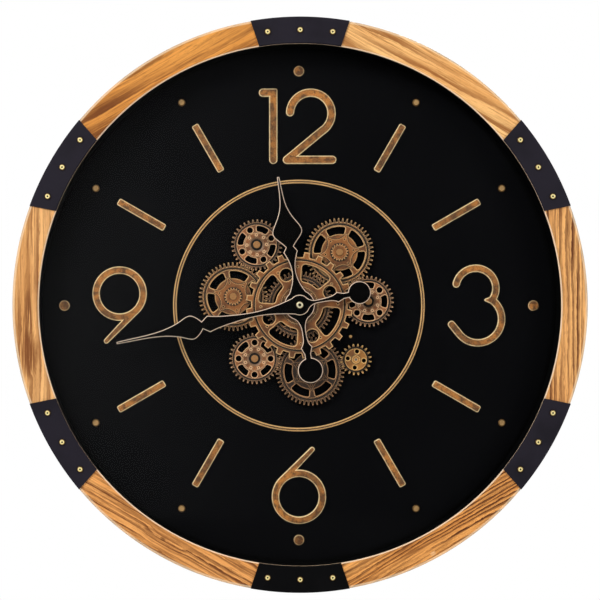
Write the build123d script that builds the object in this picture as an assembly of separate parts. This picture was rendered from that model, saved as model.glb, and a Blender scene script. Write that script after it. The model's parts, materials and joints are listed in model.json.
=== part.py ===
from build123d import *
import os
from math import atan2, cos, degrees, hypot, radians, sin, sqrt

# The clock is drawn lying on its back about its hand axis: x to the right, y towards twelve,
# z forward from the wall. save() stands it up with its keyhole at the origin.
# Sizes are millimetres. Angles are degrees, anticlockwise from three o'clock.

# Fits
FIT = 0.02                      # radial gap between pieces that are fixed together
RUNNING_FIT = 0.05              # radial gap between a shaft and what turns on it
AXIAL_PLAY = 0.15               # end play of a turning wheel
INSERT_GAP = 0.5                # gap round the sheets that drop into the wooden ring

# Layers from the wall forward
HANGER_THICK = 2.0
BOARD_THICK = 6.0
CHAMBER_DEPTH = 18.0
DIAL_THICK = 6.0
GEAR_STANDOFF = 4.0
GEAR_THICK = 3.5
STAR_RELIEF = 1.0
FRONT_GEAR_LIFT = 1.0
FRONT_GEAR_THICK = 3.5
FRONT_HUB_RELIEF = 0.8
FIXING_NUT_THICK = 2.0
HAND_GAP = 1.0                  # fixing nut to hour hand
HAND_THICK = 1.6
HANDS_APART = 2.0
HAND_NUT_HEIGHT = 2.5
GLASS_GAP = 1.6                 # hand nut to glass
GLASS_THICK = 3.0
LIP_DEPTH = 5.0

BOARD_BACK = HANGER_THICK
BOARD_FRONT = BOARD_BACK + BOARD_THICK
DIAL_BACK = BOARD_FRONT + CHAMBER_DEPTH
DIAL_FRONT = DIAL_BACK + DIAL_THICK
GEAR_BACK = DIAL_FRONT + GEAR_STANDOFF
GEAR_FRONT = GEAR_BACK + GEAR_THICK
STAR_FRONT = GEAR_FRONT + STAR_RELIEF
FRONT_GEAR_BACK = STAR_FRONT + FRONT_GEAR_LIFT
FRONT_GEAR_FRONT = FRONT_GEAR_BACK + FRONT_GEAR_THICK
FRONT_HUB_TOP = FRONT_GEAR_FRONT + FRONT_HUB_RELIEF
SLEEVE_TOP = FRONT_HUB_TOP + AXIAL_PLAY
FIXING_NUT_TOP = SLEEVE_TOP + FIXING_NUT_THICK
HOUR_HAND_BACK = FIXING_NUT_TOP + HAND_GAP
HOUR_HAND_FRONT = HOUR_HAND_BACK + HAND_THICK
MINUTE_HAND_BACK = HOUR_HAND_FRONT + HANDS_APART
MINUTE_HAND_FRONT = MINUTE_HAND_BACK + HAND_THICK
HAND_NUT_TOP = MINUTE_HAND_FRONT + HAND_NUT_HEIGHT
GLASS_BACK = HAND_NUT_TOP + GLASS_GAP
GLASS_FRONT = GLASS_BACK + GLASS_THICK
RING_FRONT = GLASS_FRONT + LIP_DEPTH

# Wooden ring of six segments
CLOCK_RADIUS = 300.0
RING_WIDTH = 27.8
LIP_OVERHANG = 6.8              # how far the lip covers the glass
BACK_WALL = 11.5                # ring's width where it meets the wall
FRONT_ROUND = 2.4
LIP_CHAMFER = 1.2
SEGMENTS = 6

SEGMENT_SPAN = 360 / SEGMENTS
RING_INNER = CLOCK_RADIUS - RING_WIDTH
REBATE_RADIUS = RING_INNER + LIP_OVERHANG
BACK_REBATE = CLOCK_RADIUS - BACK_WALL
INSERT_RADIUS = REBATE_RADIUS - INSERT_GAP
BOARD_RADIUS = BACK_REBATE - INSERT_GAP
SPACER_WIDTH = 12.0             # rear ring between dial and back board

# Strap plates over the segment joints, and their studs
STRAP_THICK = 1.5
STRAP_INNER_SPAN = 18.0
STRAP_OUTER_SPAN = 19.8
STRAP_BEVEL = 1.1
STUD_SPREAD = 6.8
STUD_HEAD_RADIUS = 3.1
STUD_HEAD_HEIGHT = 1.5
STUD_ROUND = 0.9
STUD_DIMPLE_RADIUS = 0.9
STUD_DIMPLE_DEPTH = 0.7
STUD_SHANK_RADIUS = 1.5
STUD_SHANK_LENGTH = 12.0
STUD_RADIUS = CLOCK_RADIUS - RING_WIDTH / 2

# Dial marks
MARK_THICK = 1.6
MARK_BEVEL = 1.1
SURROUND_RADIUS = 131.4
SURROUND_WIDTH = 3.8
SURROUND_THICK = 1.2
SURROUND_LINE = 0.8             # width and depth of the line turned along its middle
SURROUND_BEVEL = 0.7
DOT_INSET = 23.9                # dot circle inside the ring
QUARTER_DOT_RADIUS = 5.6
HOUR_DOT_RADIUS = 3.9
BATON_LENGTH = 56.8
BATON_WIDTH = 7.7
BATON_CORNER = 2.0
BATON_OUT = 1.7                 # beyond midway between the surround and the dot circle
NUMERAL_IN = 0.9                # inside it
NUMERAL_MARGIN = 18.0           # between a numeral's ends and those of the space it stands in
NUMERAL_STROKE = 7.9
TWELVE_STROKE = 8.8
NUMERAL_CORNER = 2.0
DOT_RADIUS = RING_INNER - DOT_INSET
MARK_SPACE = DOT_RADIUS - SURROUND_RADIUS - SURROUND_WIDTH / 2
MARK_RADIUS = DOT_RADIUS - MARK_SPACE / 2
BATON_RADIUS = MARK_RADIUS + BATON_OUT
NUMERAL_RADIUS = MARK_RADIUS - NUMERAL_IN
NUMERAL_RISE = (MARK_SPACE - NUMERAL_STROKE) / 2 - NUMERAL_MARGIN   # stroke's centre from the numeral's middle

# Shapes of the numerals, as shares of their rise
NUMERAL_OVERSHOOT = 0.112       # how much further round strokes reach
ONE_X = -0.764                  # digits of the twelve
ONE_FLAG = 0.309
TWO_X = 0.354
TWO_BOWL = 0.618                # radius of the stroke's centre line
TWO_BOWL_ENDS = (-57.4, 176.6)
TWO_BASE_LEFT = 0.711
TWO_BASE_RIGHT = 0.64
THREE_UPPER_BOWL = 0.596
THREE_UPPER_END = 167.7
THREE_LOWER_BOWL = 0.708
THREE_LOWER_END = -145.0
THREE_UPPER_X = -0.07
THREE_LOWER_X = -0.01
THREE_FOOT = (-0.793, -0.562)
THREE_WEDGE = 0.183
THREE_WEDGE_END = 0.4           # of the stroke
SIX_BOWL = 0.7
SIX_STEM_FROM = 136.0           # where the stem leaves the bowl
SIX_STEM_X = 0.393
SIX_STEM_END = 0.7              # of the stroke

# Dial pin
DIAL_PIN_AT = (54.7, -32.8)
DIAL_PIN_RADIUS = 1.8
DIAL_PIN_HEIGHT = 1.4
DIAL_PIN_SHANK = 0.9

# Gear train behind the glass
MODULE = 1.465
LARGE_TEETH = 48
SMALL_TEETH = 34
DRIVE_TEETH = 20
LARGE_ADDENDUM = 1.1
LARGE_DEDENDUM = 3.0
SMALL_ADDENDUM = 2.0
SMALL_DEDENDUM = 1.3
TOOTH_TIP = 1.1                 # tooth's width at its tip
TOOTH_ROOT = 2.5                # and at its root
SUN_TURN = 3.0
LEFT_DIRECTION = 172.4          # large wheels, seen from the hand axis
UPPER_RIGHT_DIRECTION = 52.8
BOTTOM_DIRECTION = -80.5
UPPER_LEFT_DIRECTION = 65.5     # small wheels and drive pinion, seen from their large wheel
RIGHT_DIRECTION = -59.5
LOWER_LEFT_DIRECTION = 167.3
DRIVE_DIRECTION = 14.2
LEFT_SPOKE = 47.0               # a spoke of each large wheel and a hole of each small one
UPPER_RIGHT_SPOKE = 11.4
BOTTOM_SPOKE = 36.0
UPPER_LEFT_HOLE = 24.5
RIGHT_HOLE = 45.0
LOWER_LEFT_HOLE = 0.0
DRIVE_HOLE = 0.0
EDGE_BEVEL = 0.7
GROOVE_WIDTH = 1.2
GROOVE_DEPTH = 1.0

# Large wheel: six windows, a star plate and a pinion boss
LARGE_SPOKES = 6
LARGE_WINDOW_INNER = 19.3
LARGE_WINDOW_OUTER = 27.2
LARGE_WINDOW_SPAN = 46.0
LARGE_WINDOW_CORNER = 1.8
LARGE_GROOVE_RADIUS = 29.6
STAR_TIP_RADIUS = 20.6
STAR_DIP_RADIUS = 13.9
STAR_TIP_HALF = 3.0             # degrees either side of the spoke
STAR_HOLE_RADIUS = 0.8
STAR_HOLE_CIRCLE = 14.8
BOSS_TEETH = 18
BOSS_TIP_RADIUS = 9.1
BOSS_ROOT_RADIUS = 7.5
BOSS_TOOTH_TIP = 1.1
BOSS_TOOTH_ROOT = 1.9
BOSS_RELIEF = 2.2
BOSS_TOP = STAR_FRONT + BOSS_RELIEF

# Small wheel: slots and round holes in turn
SMALL_SLOTS = 4
SMALL_SLOT_INNER = 14.0
SMALL_SLOT_OUTER = 20.3
SMALL_SLOT_SPAN = 41.0
SMALL_SLOT_CORNER = 1.9
SMALL_HOLE_CIRCLE = 16.9
SMALL_HOLE_RADIUS = 3.1
SMALL_GROOVE_RADIUS = 22.0
SMALL_HUB_RADIUS = 12.8
SMALL_HUB_RELIEF = 0.8
SMALL_DISH_RADIUS = 7.9         # dished round a well
SMALL_DISH_DEPTH = 0.9
SMALL_WELL_RADIUS = 6.0
SMALL_WELL_DEPTH = 1.9
SMALL_BOSS_RADIUS = 4.3         # in the well, under the cap
SMALL_PADS = 8                  # round pads with a hole in each
SMALL_PAD_CIRCLE = 10.4
SMALL_PAD_RADIUS = 1.8
SMALL_PAD_RELIEF = 0.4
SMALL_PAD_HOLE_RADIUS = 0.6
SMALL_PAD_HOLE_DEPTH = 1.0
SMALL_HUB_TOP = GEAR_FRONT + SMALL_HUB_RELIEF
SMALL_PAD_TOP = SMALL_HUB_TOP + SMALL_PAD_RELIEF

# Drive pinion
DRIVE_HOLES = 4
DRIVE_HOLE_CIRCLE = 8.6
DRIVE_HOLE_RADIUS = 2.2
DRIVE_HUB_RADIUS = 4.4
DRIVE_HUB_RELIEF = 1.2
DRIVE_GROOVE_RADIUS = 12.4

# Front gear with square teeth
FRONT_TEETH = 24
FRONT_TURN = 6.6
FRONT_TIP_RADIUS = 56.2
FRONT_ROOT_RADIUS = 50.9
FRONT_TOOTH_TIP = 5.6
FRONT_TOOTH_ROOT = 7.0
FRONT_WINDOWS = 4
FRONT_WINDOW_INNER = 25.2
FRONT_WINDOW_OUTER = 43.5
FRONT_WINDOW_SPAN = 46.0
FRONT_WINDOW_CORNER = 3.6
FRONT_WINDOW_TURN = 56.4        # from a tooth's middle
FRONT_HOLE_CIRCLE = 34.8
FRONT_HOLE_RADIUS = 6.7
FRONT_HOLE_TURN = 16.6
FRONT_GROOVE_RADIUS = 47.5
FRONT_HUB_RADIUS = 20.0
FRONT_STUDS = 10                # round-headed studs in a sunk track on the hub
FRONT_STUD_CIRCLE = 17.2
FRONT_STUD_RADIUS = 1.3
FRONT_TRACK_WIDTH = 3.6
FRONT_TRACK_DEPTH = 0.6
FRONT_PIN_CIRCLE = 40.6         # pin holes in the spokes
FRONT_PIN_RADIUS = 0.9
FRONT_PIN_TURNS = (-4.4, 26.8)

# Posts and sleeve that carry the wheels
POST_RADIUS = 2.5
POST_FLANGE_RADIUS = 5.0
CAP_RADIUS = 3.9
CAP_THICK = 1.2
CAP_PIN_RADIUS = 1.2
CAP_PIN_LENGTH = 4.0
BUSH_RADIUS = 5.0
SLEEVE_RADIUS = 7.0
SLEEVE_FLANGE_RADIUS = 11.0
SUN_COLLAR_RADIUS = 12.0
FIXING_NUT_SIZE = 17.0          # across flats

# Hands
HOUR_HAND_CLOCK = 350.5         # clockwise from twelve
MINUTE_HAND_CLOCK = 258.25
HAND_BEVEL = 0.8
HOUR_HUB_RADIUS = 16.0
MINUTE_HUB_RADIUS = 10.8
HOUR_TAIL_AT = 69.5
HOUR_TAIL_RADIUS = 13.2
MINUTE_TAIL_AT = 64.0
MINUTE_TAIL_RADIUS = 11.9
HAND_NUT_RADIUS = 3.8
HAND_NUT_ROUND = 1.2
HAND_NUT_MOUTH_RADIUS = 1.7     # recess in its front, round the arbor's end
HAND_NUT_MOUTH_DEPTH = 0.8

# Quartz movement behind the dial
PIPE_RADIUS = 3.0               # hour pipe
PIPE_PROUD = 0.4
ARBOR_RADIUS = 1.75             # minute arbor
ARBOR_THREAD_RADIUS = 1.2
ARBOR_THREAD_LENGTH = 1.7
MOVEMENT_SIZE = 56.0
MOVEMENT_DEPTH = 16.0
MOVEMENT_WALL = 1.6
MOVEMENT_CORNER = 3.0
COVER_THICK = 2.0
WORKS_DROP = 8.4                # works pocket below the hand axis
MOTION_DISTANCE = 9.0           # motion wheel above the hand axis
ARBOR_PINION_TEETH = 12
MOTION_WHEEL_TEETH = 36
MOTION_PINION_TEETH = 10
HOUR_WHEEL_TEETH = 40
WORKS_ADDENDUM = 0.75           # of the module
WORKS_DEDENDUM = 1.1
WORKS_TIP = 0.5                 # tooth widths, of the module
WORKS_ROOT = 1.6
WORKS_WHEEL_THICK = 1.4
WORKS_GAP = 0.9
PINION_LENGTH = 2.6
MOTION_STEM_RADIUS = 1.0
KNOB_RADIUS = 6.0
KNOB_THICK = 3.0
KNOB_RIDGES = 20
KNOB_RIDGE = 1.2

# Cells
CELL_RADIUS = 7.1
CELL_LENGTH = 49.2
CELL_BUTTON_RADIUS = 2.75
CELL_BUTTON_LENGTH = 1.2
CELL_GAP = 0.4                  # gap round a cell in its bay
CONTACT_THICK = 0.8
CONTACT_WIDTH = 9.0

# Gear motor and its cell holder
MOTOR_SIZE = 30.0
MOTOR_DEPTH = 14.0
MOTOR_WALL = 1.5
CAN_RADIUS = 9.0
CAN_LENGTH = 9.0
SHAFT_RADIUS = 1.5
SHAFT_HOLE_GAP = 0.6            # round the shaft where it passes the dial
EAR_LENGTH = 8.0
EAR_WIDTH = 12.0
EAR_THICK = 2.0
HOLDER_WALL = 1.6
HOLDER_CELLS = 2

# Back board, hanger and screws
ACCESS_GAP = 3.0                # round what is reached through the back board
KEYHOLE_INSET = 48.0            # keyhole inside the board's edge
KEYHOLE_RADIUS = 5.5
KEYHOLE_SLOT_WIDTH = 5.0
KEYHOLE_SLOT_RISE = 11.0
HANGER_WIDTH = 62.0
HANGER_HEIGHT = 34.0
HANGER_CORNER = 4.0
HANGER_SCREW_SPACING = 48.0
POCKET_MARGIN = 2.5             # board pocket round the keyhole
SMALL_SCREW_RADIUS = 1.25
SMALL_SCREW_HEAD = 2.6
SMALL_SCREW_LENGTH = 5.6
BOARD_SCREW_RADIUS = 1.75
BOARD_SCREW_HEAD = 3.6
BOARD_SCREW_LENGTH = 22.0
BOARD_SCREW_INSET = 4.5         # screw circle inside the board's edge
SCREWS_PER_SEGMENT = 2
CROSS_REACH = 0.55              # cross recess of a screw, as shares of its head's radius
CROSS_WIDTH = 0.3
CROSS_DEPTH = 0.3

BOARD_SCREW_CIRCLE = BOARD_RADIUS - BOARD_SCREW_INSET
KEYHOLE_HEIGHT = BOARD_RADIUS - KEYHOLE_INSET
KEYHOLE_AT = (0, KEYHOLE_HEIGHT)
CELL_BAY_WIDTH = 2 * (CELL_RADIUS + CELL_GAP)
CELL_BAY_LENGTH = CELL_LENGTH + CELL_BUTTON_LENGTH + 2 * CONTACT_THICK
MOVEMENT_CELL_AT = (0, -WORKS_DROP - MOVEMENT_WALL - CELL_BAY_WIDTH / 2)
HOLDER_LENGTH = CELL_BAY_LENGTH + 2 * HOLDER_WALL
HOLDER_HEIGHT = HOLDER_CELLS * CELL_BAY_WIDTH + (HOLDER_CELLS + 1) * HOLDER_WALL
HOLDER_DEPTH = CELL_BAY_WIDTH + HOLDER_WALL


def polar(radius, angle, centre=(0, 0)):
    """Point at a radius and angle from a centre."""
    return (centre[0] + radius * cos(radians(angle)), centre[1] + radius * sin(radians(angle)))


def spread(count, first=0.0):
    """Angles of a pattern evenly spread round a full turn."""
    return [first + 360 * k / count for k in range(count)]


def slab(sketch, low, high):
    """Flat outline thickened between two heights above the wall."""
    return extrude(Pos(0, 0, low) * sketch, high - low)


def disc(radius, low, high, at=(0, 0)):
    return slab(Pos(*at) * Circle(radius), low, high)


def ring(outer, inner, low, high, at=(0, 0)):
    return slab(Pos(*at) * (Circle(outer) - Circle(inner)), low, high)


def block(width, height, low, high, at=(0, 0)):
    return slab(Pos(*at) * Rectangle(width, height), low, high)


def band(inner, outer, inner_span, outer_span, middle=0.0):
    """Piece of an annulus whose two ends are straight."""
    corners = [
        polar(inner, middle - inner_span / 2),
        polar(outer, middle - outer_span / 2),
        polar(outer, middle + outer_span / 2),
        polar(inner, middle + inner_span / 2),
    ]
    edges = [
        Line(corners[0], corners[1]),
        ThreePointArc(corners[1], polar(outer, middle), corners[2]),
        Line(corners[2], corners[3]),
        ThreePointArc(corners[3], polar(inner, middle), corners[0]),
    ]
    return make_face(edges)


def window(inner, outer, span, corner, middle):
    """Curved opening with rounded corners."""
    outline = band(inner, outer, span, span, middle)
    return fillet(outline.vertices(), corner)


def toothed(teeth, tip_radius, root_radius, tip_width, root_width):
    """Wheel outline with straight-sided teeth, the first one at angle 0."""
    flanks = [(root_radius, -root_width), (tip_radius, -tip_width), (tip_radius, tip_width),
              (root_radius, root_width)]
    points = []
    for middle in spread(teeth):
        for radius, width in flanks:
            points.append(polar(radius, middle + degrees(width / 2 / radius)))
    return make_face(Polyline(*points, close=True))


def front_edges(part):
    """Edges round the foremost flat face."""
    return part.faces().sort_by(Axis.Z)[-1].edges()


def opening_edges(part):
    """Edges of the openings in the foremost flat face."""
    face = part.faces().sort_by(Axis.Z)[-1]
    return [edge for wire in face.inner_wires() for edge in wire.edges()]


def groove(radius, top):
    """Cutter for the turned line in a wheel's face."""
    return ring(radius + GROOVE_WIDTH / 2, radius - GROOVE_WIDTH / 2, top - GROOVE_DEPTH, top)


def place(part, at, turn=0.0):
    return Pos(at[0], at[1], 0) * Rot(0, 0, turn) * part


def screw(radius, head, length, at, low):
    """Countersunk screw driven forward, with its head flush at the given height."""
    sink = head - radius
    cone = Cone(head, radius, sink, align=(Align.CENTER, Align.CENTER, Align.MIN))
    return Pos(at[0], at[1], low) * cone + disc(radius, low + sink, low + length, at)


def cross_screw(radius, head, length, at, low):
    """Countersunk screw with a cross recess in its head."""
    reach = 2 * CROSS_REACH * head
    width = CROSS_WIDTH * head
    floor = low + CROSS_DEPTH * head
    recess = block(reach, width, low, floor, at) + block(width, reach, low, floor, at)
    return screw(radius, head, length, at, low) - recess


def screw_hole(radius, head, length, at, low):
    return screw(radius + FIT, head + FIT, length + FIT, at, low)


def save(node, *pieces):
    """Write one piece, or a group of like pieces, standing up with the keyhole at the origin."""
    upright = Pos(0, 0, -KEYHOLE_HEIGHT) * Rot(90, 0, 0)
    solids = [upright * solid for piece in pieces for solid in piece.solids()]
    shape = solids[0] if len(solids) == 1 else Compound(children=solids)
    export_step(shape, f"parts/{node}.step")


# Wooden ring
def strap_stud_points(middle):
    return [polar(STUD_RADIUS, middle + side * STUD_SPREAD) for side in (-1, 0, 1)]


def board_screw_points(start):
    pitch = SEGMENT_SPAN / SCREWS_PER_SEGMENT
    return [polar(BOARD_SCREW_CIRCLE, start + pitch * (k + 0.5)) for k in range(SCREWS_PER_SEGMENT)]


def wood_segment():
    """One sixth of the ring, from angle 0 up, with a rebate for the sheets and one for the board."""
    corners = [
        (BACK_REBATE, 0), (CLOCK_RADIUS, 0), (CLOCK_RADIUS, RING_FRONT), (RING_INNER, RING_FRONT),
        (RING_INNER, GLASS_FRONT), (REBATE_RADIUS, GLASS_FRONT), (REBATE_RADIUS, BOARD_FRONT),
        (BACK_REBATE, BOARD_FRONT),
    ]
    profile = make_face(Polyline(*corners, close=True))
    outer_edge = profile.vertices().sort_by_distance((CLOCK_RADIUS, RING_FRONT))[0]
    profile = fillet(outer_edge, FRONT_ROUND)
    lip_edge = profile.vertices().sort_by_distance((RING_INNER, RING_FRONT))[0]
    profile = chamfer(lip_edge, LIP_CHAMFER)
    segment = revolve(Plane.XZ * profile, Axis.Z, SEGMENT_SPAN)
    stud_foot = RING_FRONT + STRAP_THICK - STUD_SHANK_LENGTH
    for at in strap_stud_points(0) + strap_stud_points(SEGMENT_SPAN):
        segment -= disc(STUD_SHANK_RADIUS + FIT, stud_foot - FIT, RING_FRONT, at)
    for at in board_screw_points(0):
        segment -= screw_hole(BOARD_SCREW_RADIUS, BOARD_SCREW_HEAD, BOARD_SCREW_LENGTH, at, BOARD_BACK)
    return segment


def strap_plate():
    """Flat plate over a joint of the ring, at angle 0, bevelled along its inner edge."""
    outline = band(RING_INNER, CLOCK_RADIUS, STRAP_INNER_SPAN, STRAP_OUTER_SPAN)
    plate = slab(outline, RING_FRONT, RING_FRONT + STRAP_THICK)
    inner_edge = front_edges(plate).sort_by_distance((RING_INNER, 0, RING_FRONT + STRAP_THICK))[0]
    plate = chamfer(inner_edge, STRAP_BEVEL)
    for at in strap_stud_points(0):
        plate -= disc(STUD_SHANK_RADIUS + FIT, RING_FRONT, RING_FRONT + STRAP_THICK, at)
    return plate


def strap_stud(at):
    """Hollow-headed brass stud."""
    seat = RING_FRONT + STRAP_THICK
    top = seat + STUD_HEAD_HEIGHT
    head = disc(STUD_HEAD_RADIUS, seat, top, at)
    head = fillet(front_edges(head), STUD_ROUND)
    head -= disc(STUD_DIMPLE_RADIUS, top - STUD_DIMPLE_DEPTH, top, at)
    return head + disc(STUD_SHANK_RADIUS, seat - STUD_SHANK_LENGTH, seat, at)


# Dial marks
def raised(outline):
    """Dial mark with bevelled front edges."""
    mark = slab(outline, DIAL_FRONT, DIAL_FRONT + MARK_THICK)
    return chamfer(front_edges(mark), MARK_BEVEL)


def stroke(start, end, start_width, end_width):
    """Straight pen stroke with round ends."""
    first = Pos(*start) * Circle(start_width / 2)
    last = Pos(*end) * Circle(end_width / 2)
    return make_hull(first.edges() + last.edges())


def arc_stroke(centre, radius, first, last, width):
    """Curved pen stroke with round ends, anticlockwise from the first angle to the last."""
    arc = CenterArc(centre, radius, first, last - first)
    return SlotArc(arc, width)


def numeral_one():
    foot = (ONE_X * NUMERAL_RISE, -NUMERAL_RISE)
    shoulder = (ONE_X * NUMERAL_RISE, NUMERAL_RISE)
    flag = ((ONE_X - ONE_FLAG) * NUMERAL_RISE, NUMERAL_RISE)
    corner = Pos(*shoulder) * RectangleRounded(TWELVE_STROKE, TWELVE_STROKE, NUMERAL_CORNER)
    return (stroke(foot, shoulder, TWELVE_STROKE, TWELVE_STROKE)
            + stroke(flag, shoulder, TWELVE_STROKE, TWELVE_STROKE) + corner)


def numeral_two():
    bowl = TWO_BOWL * NUMERAL_RISE
    bowl_centre = (TWO_X * NUMERAL_RISE, NUMERAL_RISE - bowl)
    bowl_first, bowl_last = TWO_BOWL_ENDS
    corner = ((TWO_X - TWO_BASE_LEFT) * NUMERAL_RISE, -NUMERAL_RISE)
    base_end = ((TWO_X + TWO_BASE_RIGHT) * NUMERAL_RISE, -NUMERAL_RISE)
    return (arc_stroke(bowl_centre, bowl, bowl_first, bowl_last, TWELVE_STROKE)
            + stroke(polar(bowl, bowl_first, bowl_centre), corner, TWELVE_STROKE, TWELVE_STROKE)
            + stroke(corner, base_end, TWELVE_STROKE, TWELVE_STROKE))


def circles_meet(first, first_radius, second, second_radius):
    """Right-hand meeting point of two circles, the first above the second."""
    across = (second[0] - first[0], second[1] - first[1])
    apart = hypot(*across)
    along = (first_radius ** 2 - second_radius ** 2 + apart ** 2) / (2 * apart)
    out = sqrt(first_radius ** 2 - along ** 2)
    return (first[0] + (along * across[0] - out * across[1]) / apart,
            first[1] + (along * across[1] + out * across[0]) / apart)


def direction(start, end):
    return degrees(atan2(end[1] - start[1], end[0] - start[0]))


def numeral_three():
    upper = THREE_UPPER_BOWL * NUMERAL_RISE
    lower = THREE_LOWER_BOWL * NUMERAL_RISE
    reach = (1 + NUMERAL_OVERSHOOT) * NUMERAL_RISE
    upper_centre = (THREE_UPPER_X * NUMERAL_RISE, reach - upper)
    lower_centre = (THREE_LOWER_X * NUMERAL_RISE, lower - reach)
    waist = circles_meet(upper_centre, upper, lower_centre, lower)
    wedge = (waist[0] - THREE_WEDGE * NUMERAL_RISE, waist[1])
    lower_end = polar(lower, THREE_LOWER_END, lower_centre)
    foot = (THREE_FOOT[0] * NUMERAL_RISE, THREE_FOOT[1] * NUMERAL_RISE)
    return (arc_stroke(upper_centre, upper, direction(upper_centre, waist), THREE_UPPER_END, NUMERAL_STROKE)
            + arc_stroke(lower_centre, lower, THREE_LOWER_END, direction(lower_centre, waist), NUMERAL_STROKE)
            + stroke(waist, wedge, NUMERAL_STROKE, THREE_WEDGE_END * NUMERAL_STROKE)
            + stroke(lower_end, foot, NUMERAL_STROKE, NUMERAL_STROKE))


def numeral_six():
    bowl = SIX_BOWL * NUMERAL_RISE
    reach = (1 + NUMERAL_OVERSHOOT / 2) * NUMERAL_RISE
    bowl_centre = (0, bowl - reach)
    bowl_ring = Pos(*bowl_centre) * (Circle(bowl + NUMERAL_STROKE / 2) - Circle(bowl - NUMERAL_STROKE / 2))
    stem_foot = polar(bowl, SIX_STEM_FROM, bowl_centre)
    stem_end = (SIX_STEM_X * NUMERAL_RISE, reach)
    return bowl_ring + stroke(stem_foot, stem_end, NUMERAL_STROKE, SIX_STEM_END * NUMERAL_STROKE)


def gear_surround():
    """Thin bevelled ring with a line turned along its middle."""
    top = DIAL_FRONT + SURROUND_THICK
    surround = ring(SURROUND_RADIUS + SURROUND_WIDTH / 2, SURROUND_RADIUS - SURROUND_WIDTH / 2, DIAL_FRONT, top)
    surround = chamfer(front_edges(surround), SURROUND_BEVEL)
    return surround - ring(SURROUND_RADIUS + SURROUND_LINE / 2, SURROUND_RADIUS - SURROUND_LINE / 2,
                           top - SURROUND_LINE, top)


def baton(clock_hour):
    outline = fillet(Rectangle(BATON_LENGTH, BATON_WIDTH).vertices(), BATON_CORNER)
    angle = 90 - 30 * clock_hour
    return raised(Pos(*polar(BATON_RADIUS, angle)) * Rot(0, 0, angle) * outline)


def dot(clock_hour, radius):
    return raised(Pos(*polar(DOT_RADIUS, 90 - 30 * clock_hour)) * Circle(radius))


def dial_pin():
    top = DIAL_FRONT + DIAL_PIN_HEIGHT
    head = disc(DIAL_PIN_RADIUS, DIAL_FRONT, top, DIAL_PIN_AT)
    head = fillet(front_edges(head), DIAL_PIN_HEIGHT / 2)
    return head + disc(DIAL_PIN_SHANK, DIAL_BACK, DIAL_FRONT, DIAL_PIN_AT)


# Gear train
def pitch_radius(teeth):
    return MODULE * teeth / 2


def mesh_point(centre, teeth, direction, other_teeth):
    """Centre of a wheel in mesh with another, seen from it in a direction."""
    return polar(pitch_radius(teeth) + pitch_radius(other_teeth), direction, centre)


def meshed_turn(driver_teeth, driver_turn, direction, teeth, repeat, wanted):
    """Turn that sets a wheel in mesh, with its openings as near as can be to the wanted angle."""
    step = 360 / teeth
    phase = (direction - driver_turn) * driver_teeth / 360
    first = direction + 180 - step * (0.5 - phase)

    def miss(turn):
        return abs((turn - wanted + repeat / 2) % repeat - repeat / 2)

    return min([first + step * k for k in range(teeth)], key=miss)


def large_turn(direction, spoke):
    """Turn of a large wheel in mesh with the centre wheel."""
    return meshed_turn(LARGE_TEETH, SUN_TURN, direction, LARGE_TEETH, 360 / LARGE_SPOKES, spoke)


def small_turn(driver_turn, direction, hole):
    """Turn of a small wheel in mesh with a large one."""
    return meshed_turn(LARGE_TEETH, driver_turn, direction, SMALL_TEETH, 360 / SMALL_SLOTS, hole)


def star_outline():
    """Six-pointed plate with hollowed sides, its points on the spokes."""
    edges = []
    for spoke in spread(LARGE_SPOKES):
        side = polar(STAR_TIP_RADIUS, spoke + STAR_TIP_HALF)
        next_spoke = spoke + 360 / LARGE_SPOKES
        next_side = polar(STAR_TIP_RADIUS, next_spoke - STAR_TIP_HALF)
        edges.append(Line(polar(STAR_TIP_RADIUS, spoke - STAR_TIP_HALF), side))
        edges.append(ThreePointArc(side, polar(STAR_DIP_RADIUS, (spoke + next_spoke) / 2), next_side))
    return make_face(edges)


def spoked_wheel(bore):
    """Large wheel without its boss, with a tooth and a spoke at angle 0."""
    pitch = pitch_radius(LARGE_TEETH)
    blank = toothed(LARGE_TEETH, pitch + LARGE_ADDENDUM, pitch - LARGE_DEDENDUM, TOOTH_TIP, TOOTH_ROOT)
    for middle in spread(LARGE_SPOKES, 180 / LARGE_SPOKES):
        blank -= window(LARGE_WINDOW_INNER, LARGE_WINDOW_OUTER, LARGE_WINDOW_SPAN, LARGE_WINDOW_CORNER, middle)
    wheel = slab(blank, GEAR_BACK, GEAR_FRONT)
    wheel = chamfer(opening_edges(wheel), EDGE_BEVEL)
    wheel -= groove(LARGE_GROOVE_RADIUS, GEAR_FRONT)
    wheel += slab(star_outline(), GEAR_FRONT, STAR_FRONT)
    for spoke in spread(LARGE_SPOKES):
        wheel -= disc(STAR_HOLE_RADIUS, GEAR_BACK, STAR_FRONT, polar(STAR_HOLE_CIRCLE, spoke))
    return wheel - disc(bore, GEAR_BACK, STAR_FRONT)


def large_wheel():
    bore = POST_RADIUS + RUNNING_FIT
    boss = toothed(BOSS_TEETH, BOSS_TIP_RADIUS, BOSS_ROOT_RADIUS, BOSS_TOOTH_TIP, BOSS_TOOTH_ROOT)
    return spoked_wheel(bore) + slab(boss - Circle(bore), STAR_FRONT, BOSS_TOP)


def sun_gear():
    """Centre wheel, with a collar that carries the front gear."""
    bore = SLEEVE_RADIUS + RUNNING_FIT
    return spoked_wheel(bore) + ring(SUN_COLLAR_RADIUS, bore, STAR_FRONT, FRONT_GEAR_BACK)


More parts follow.
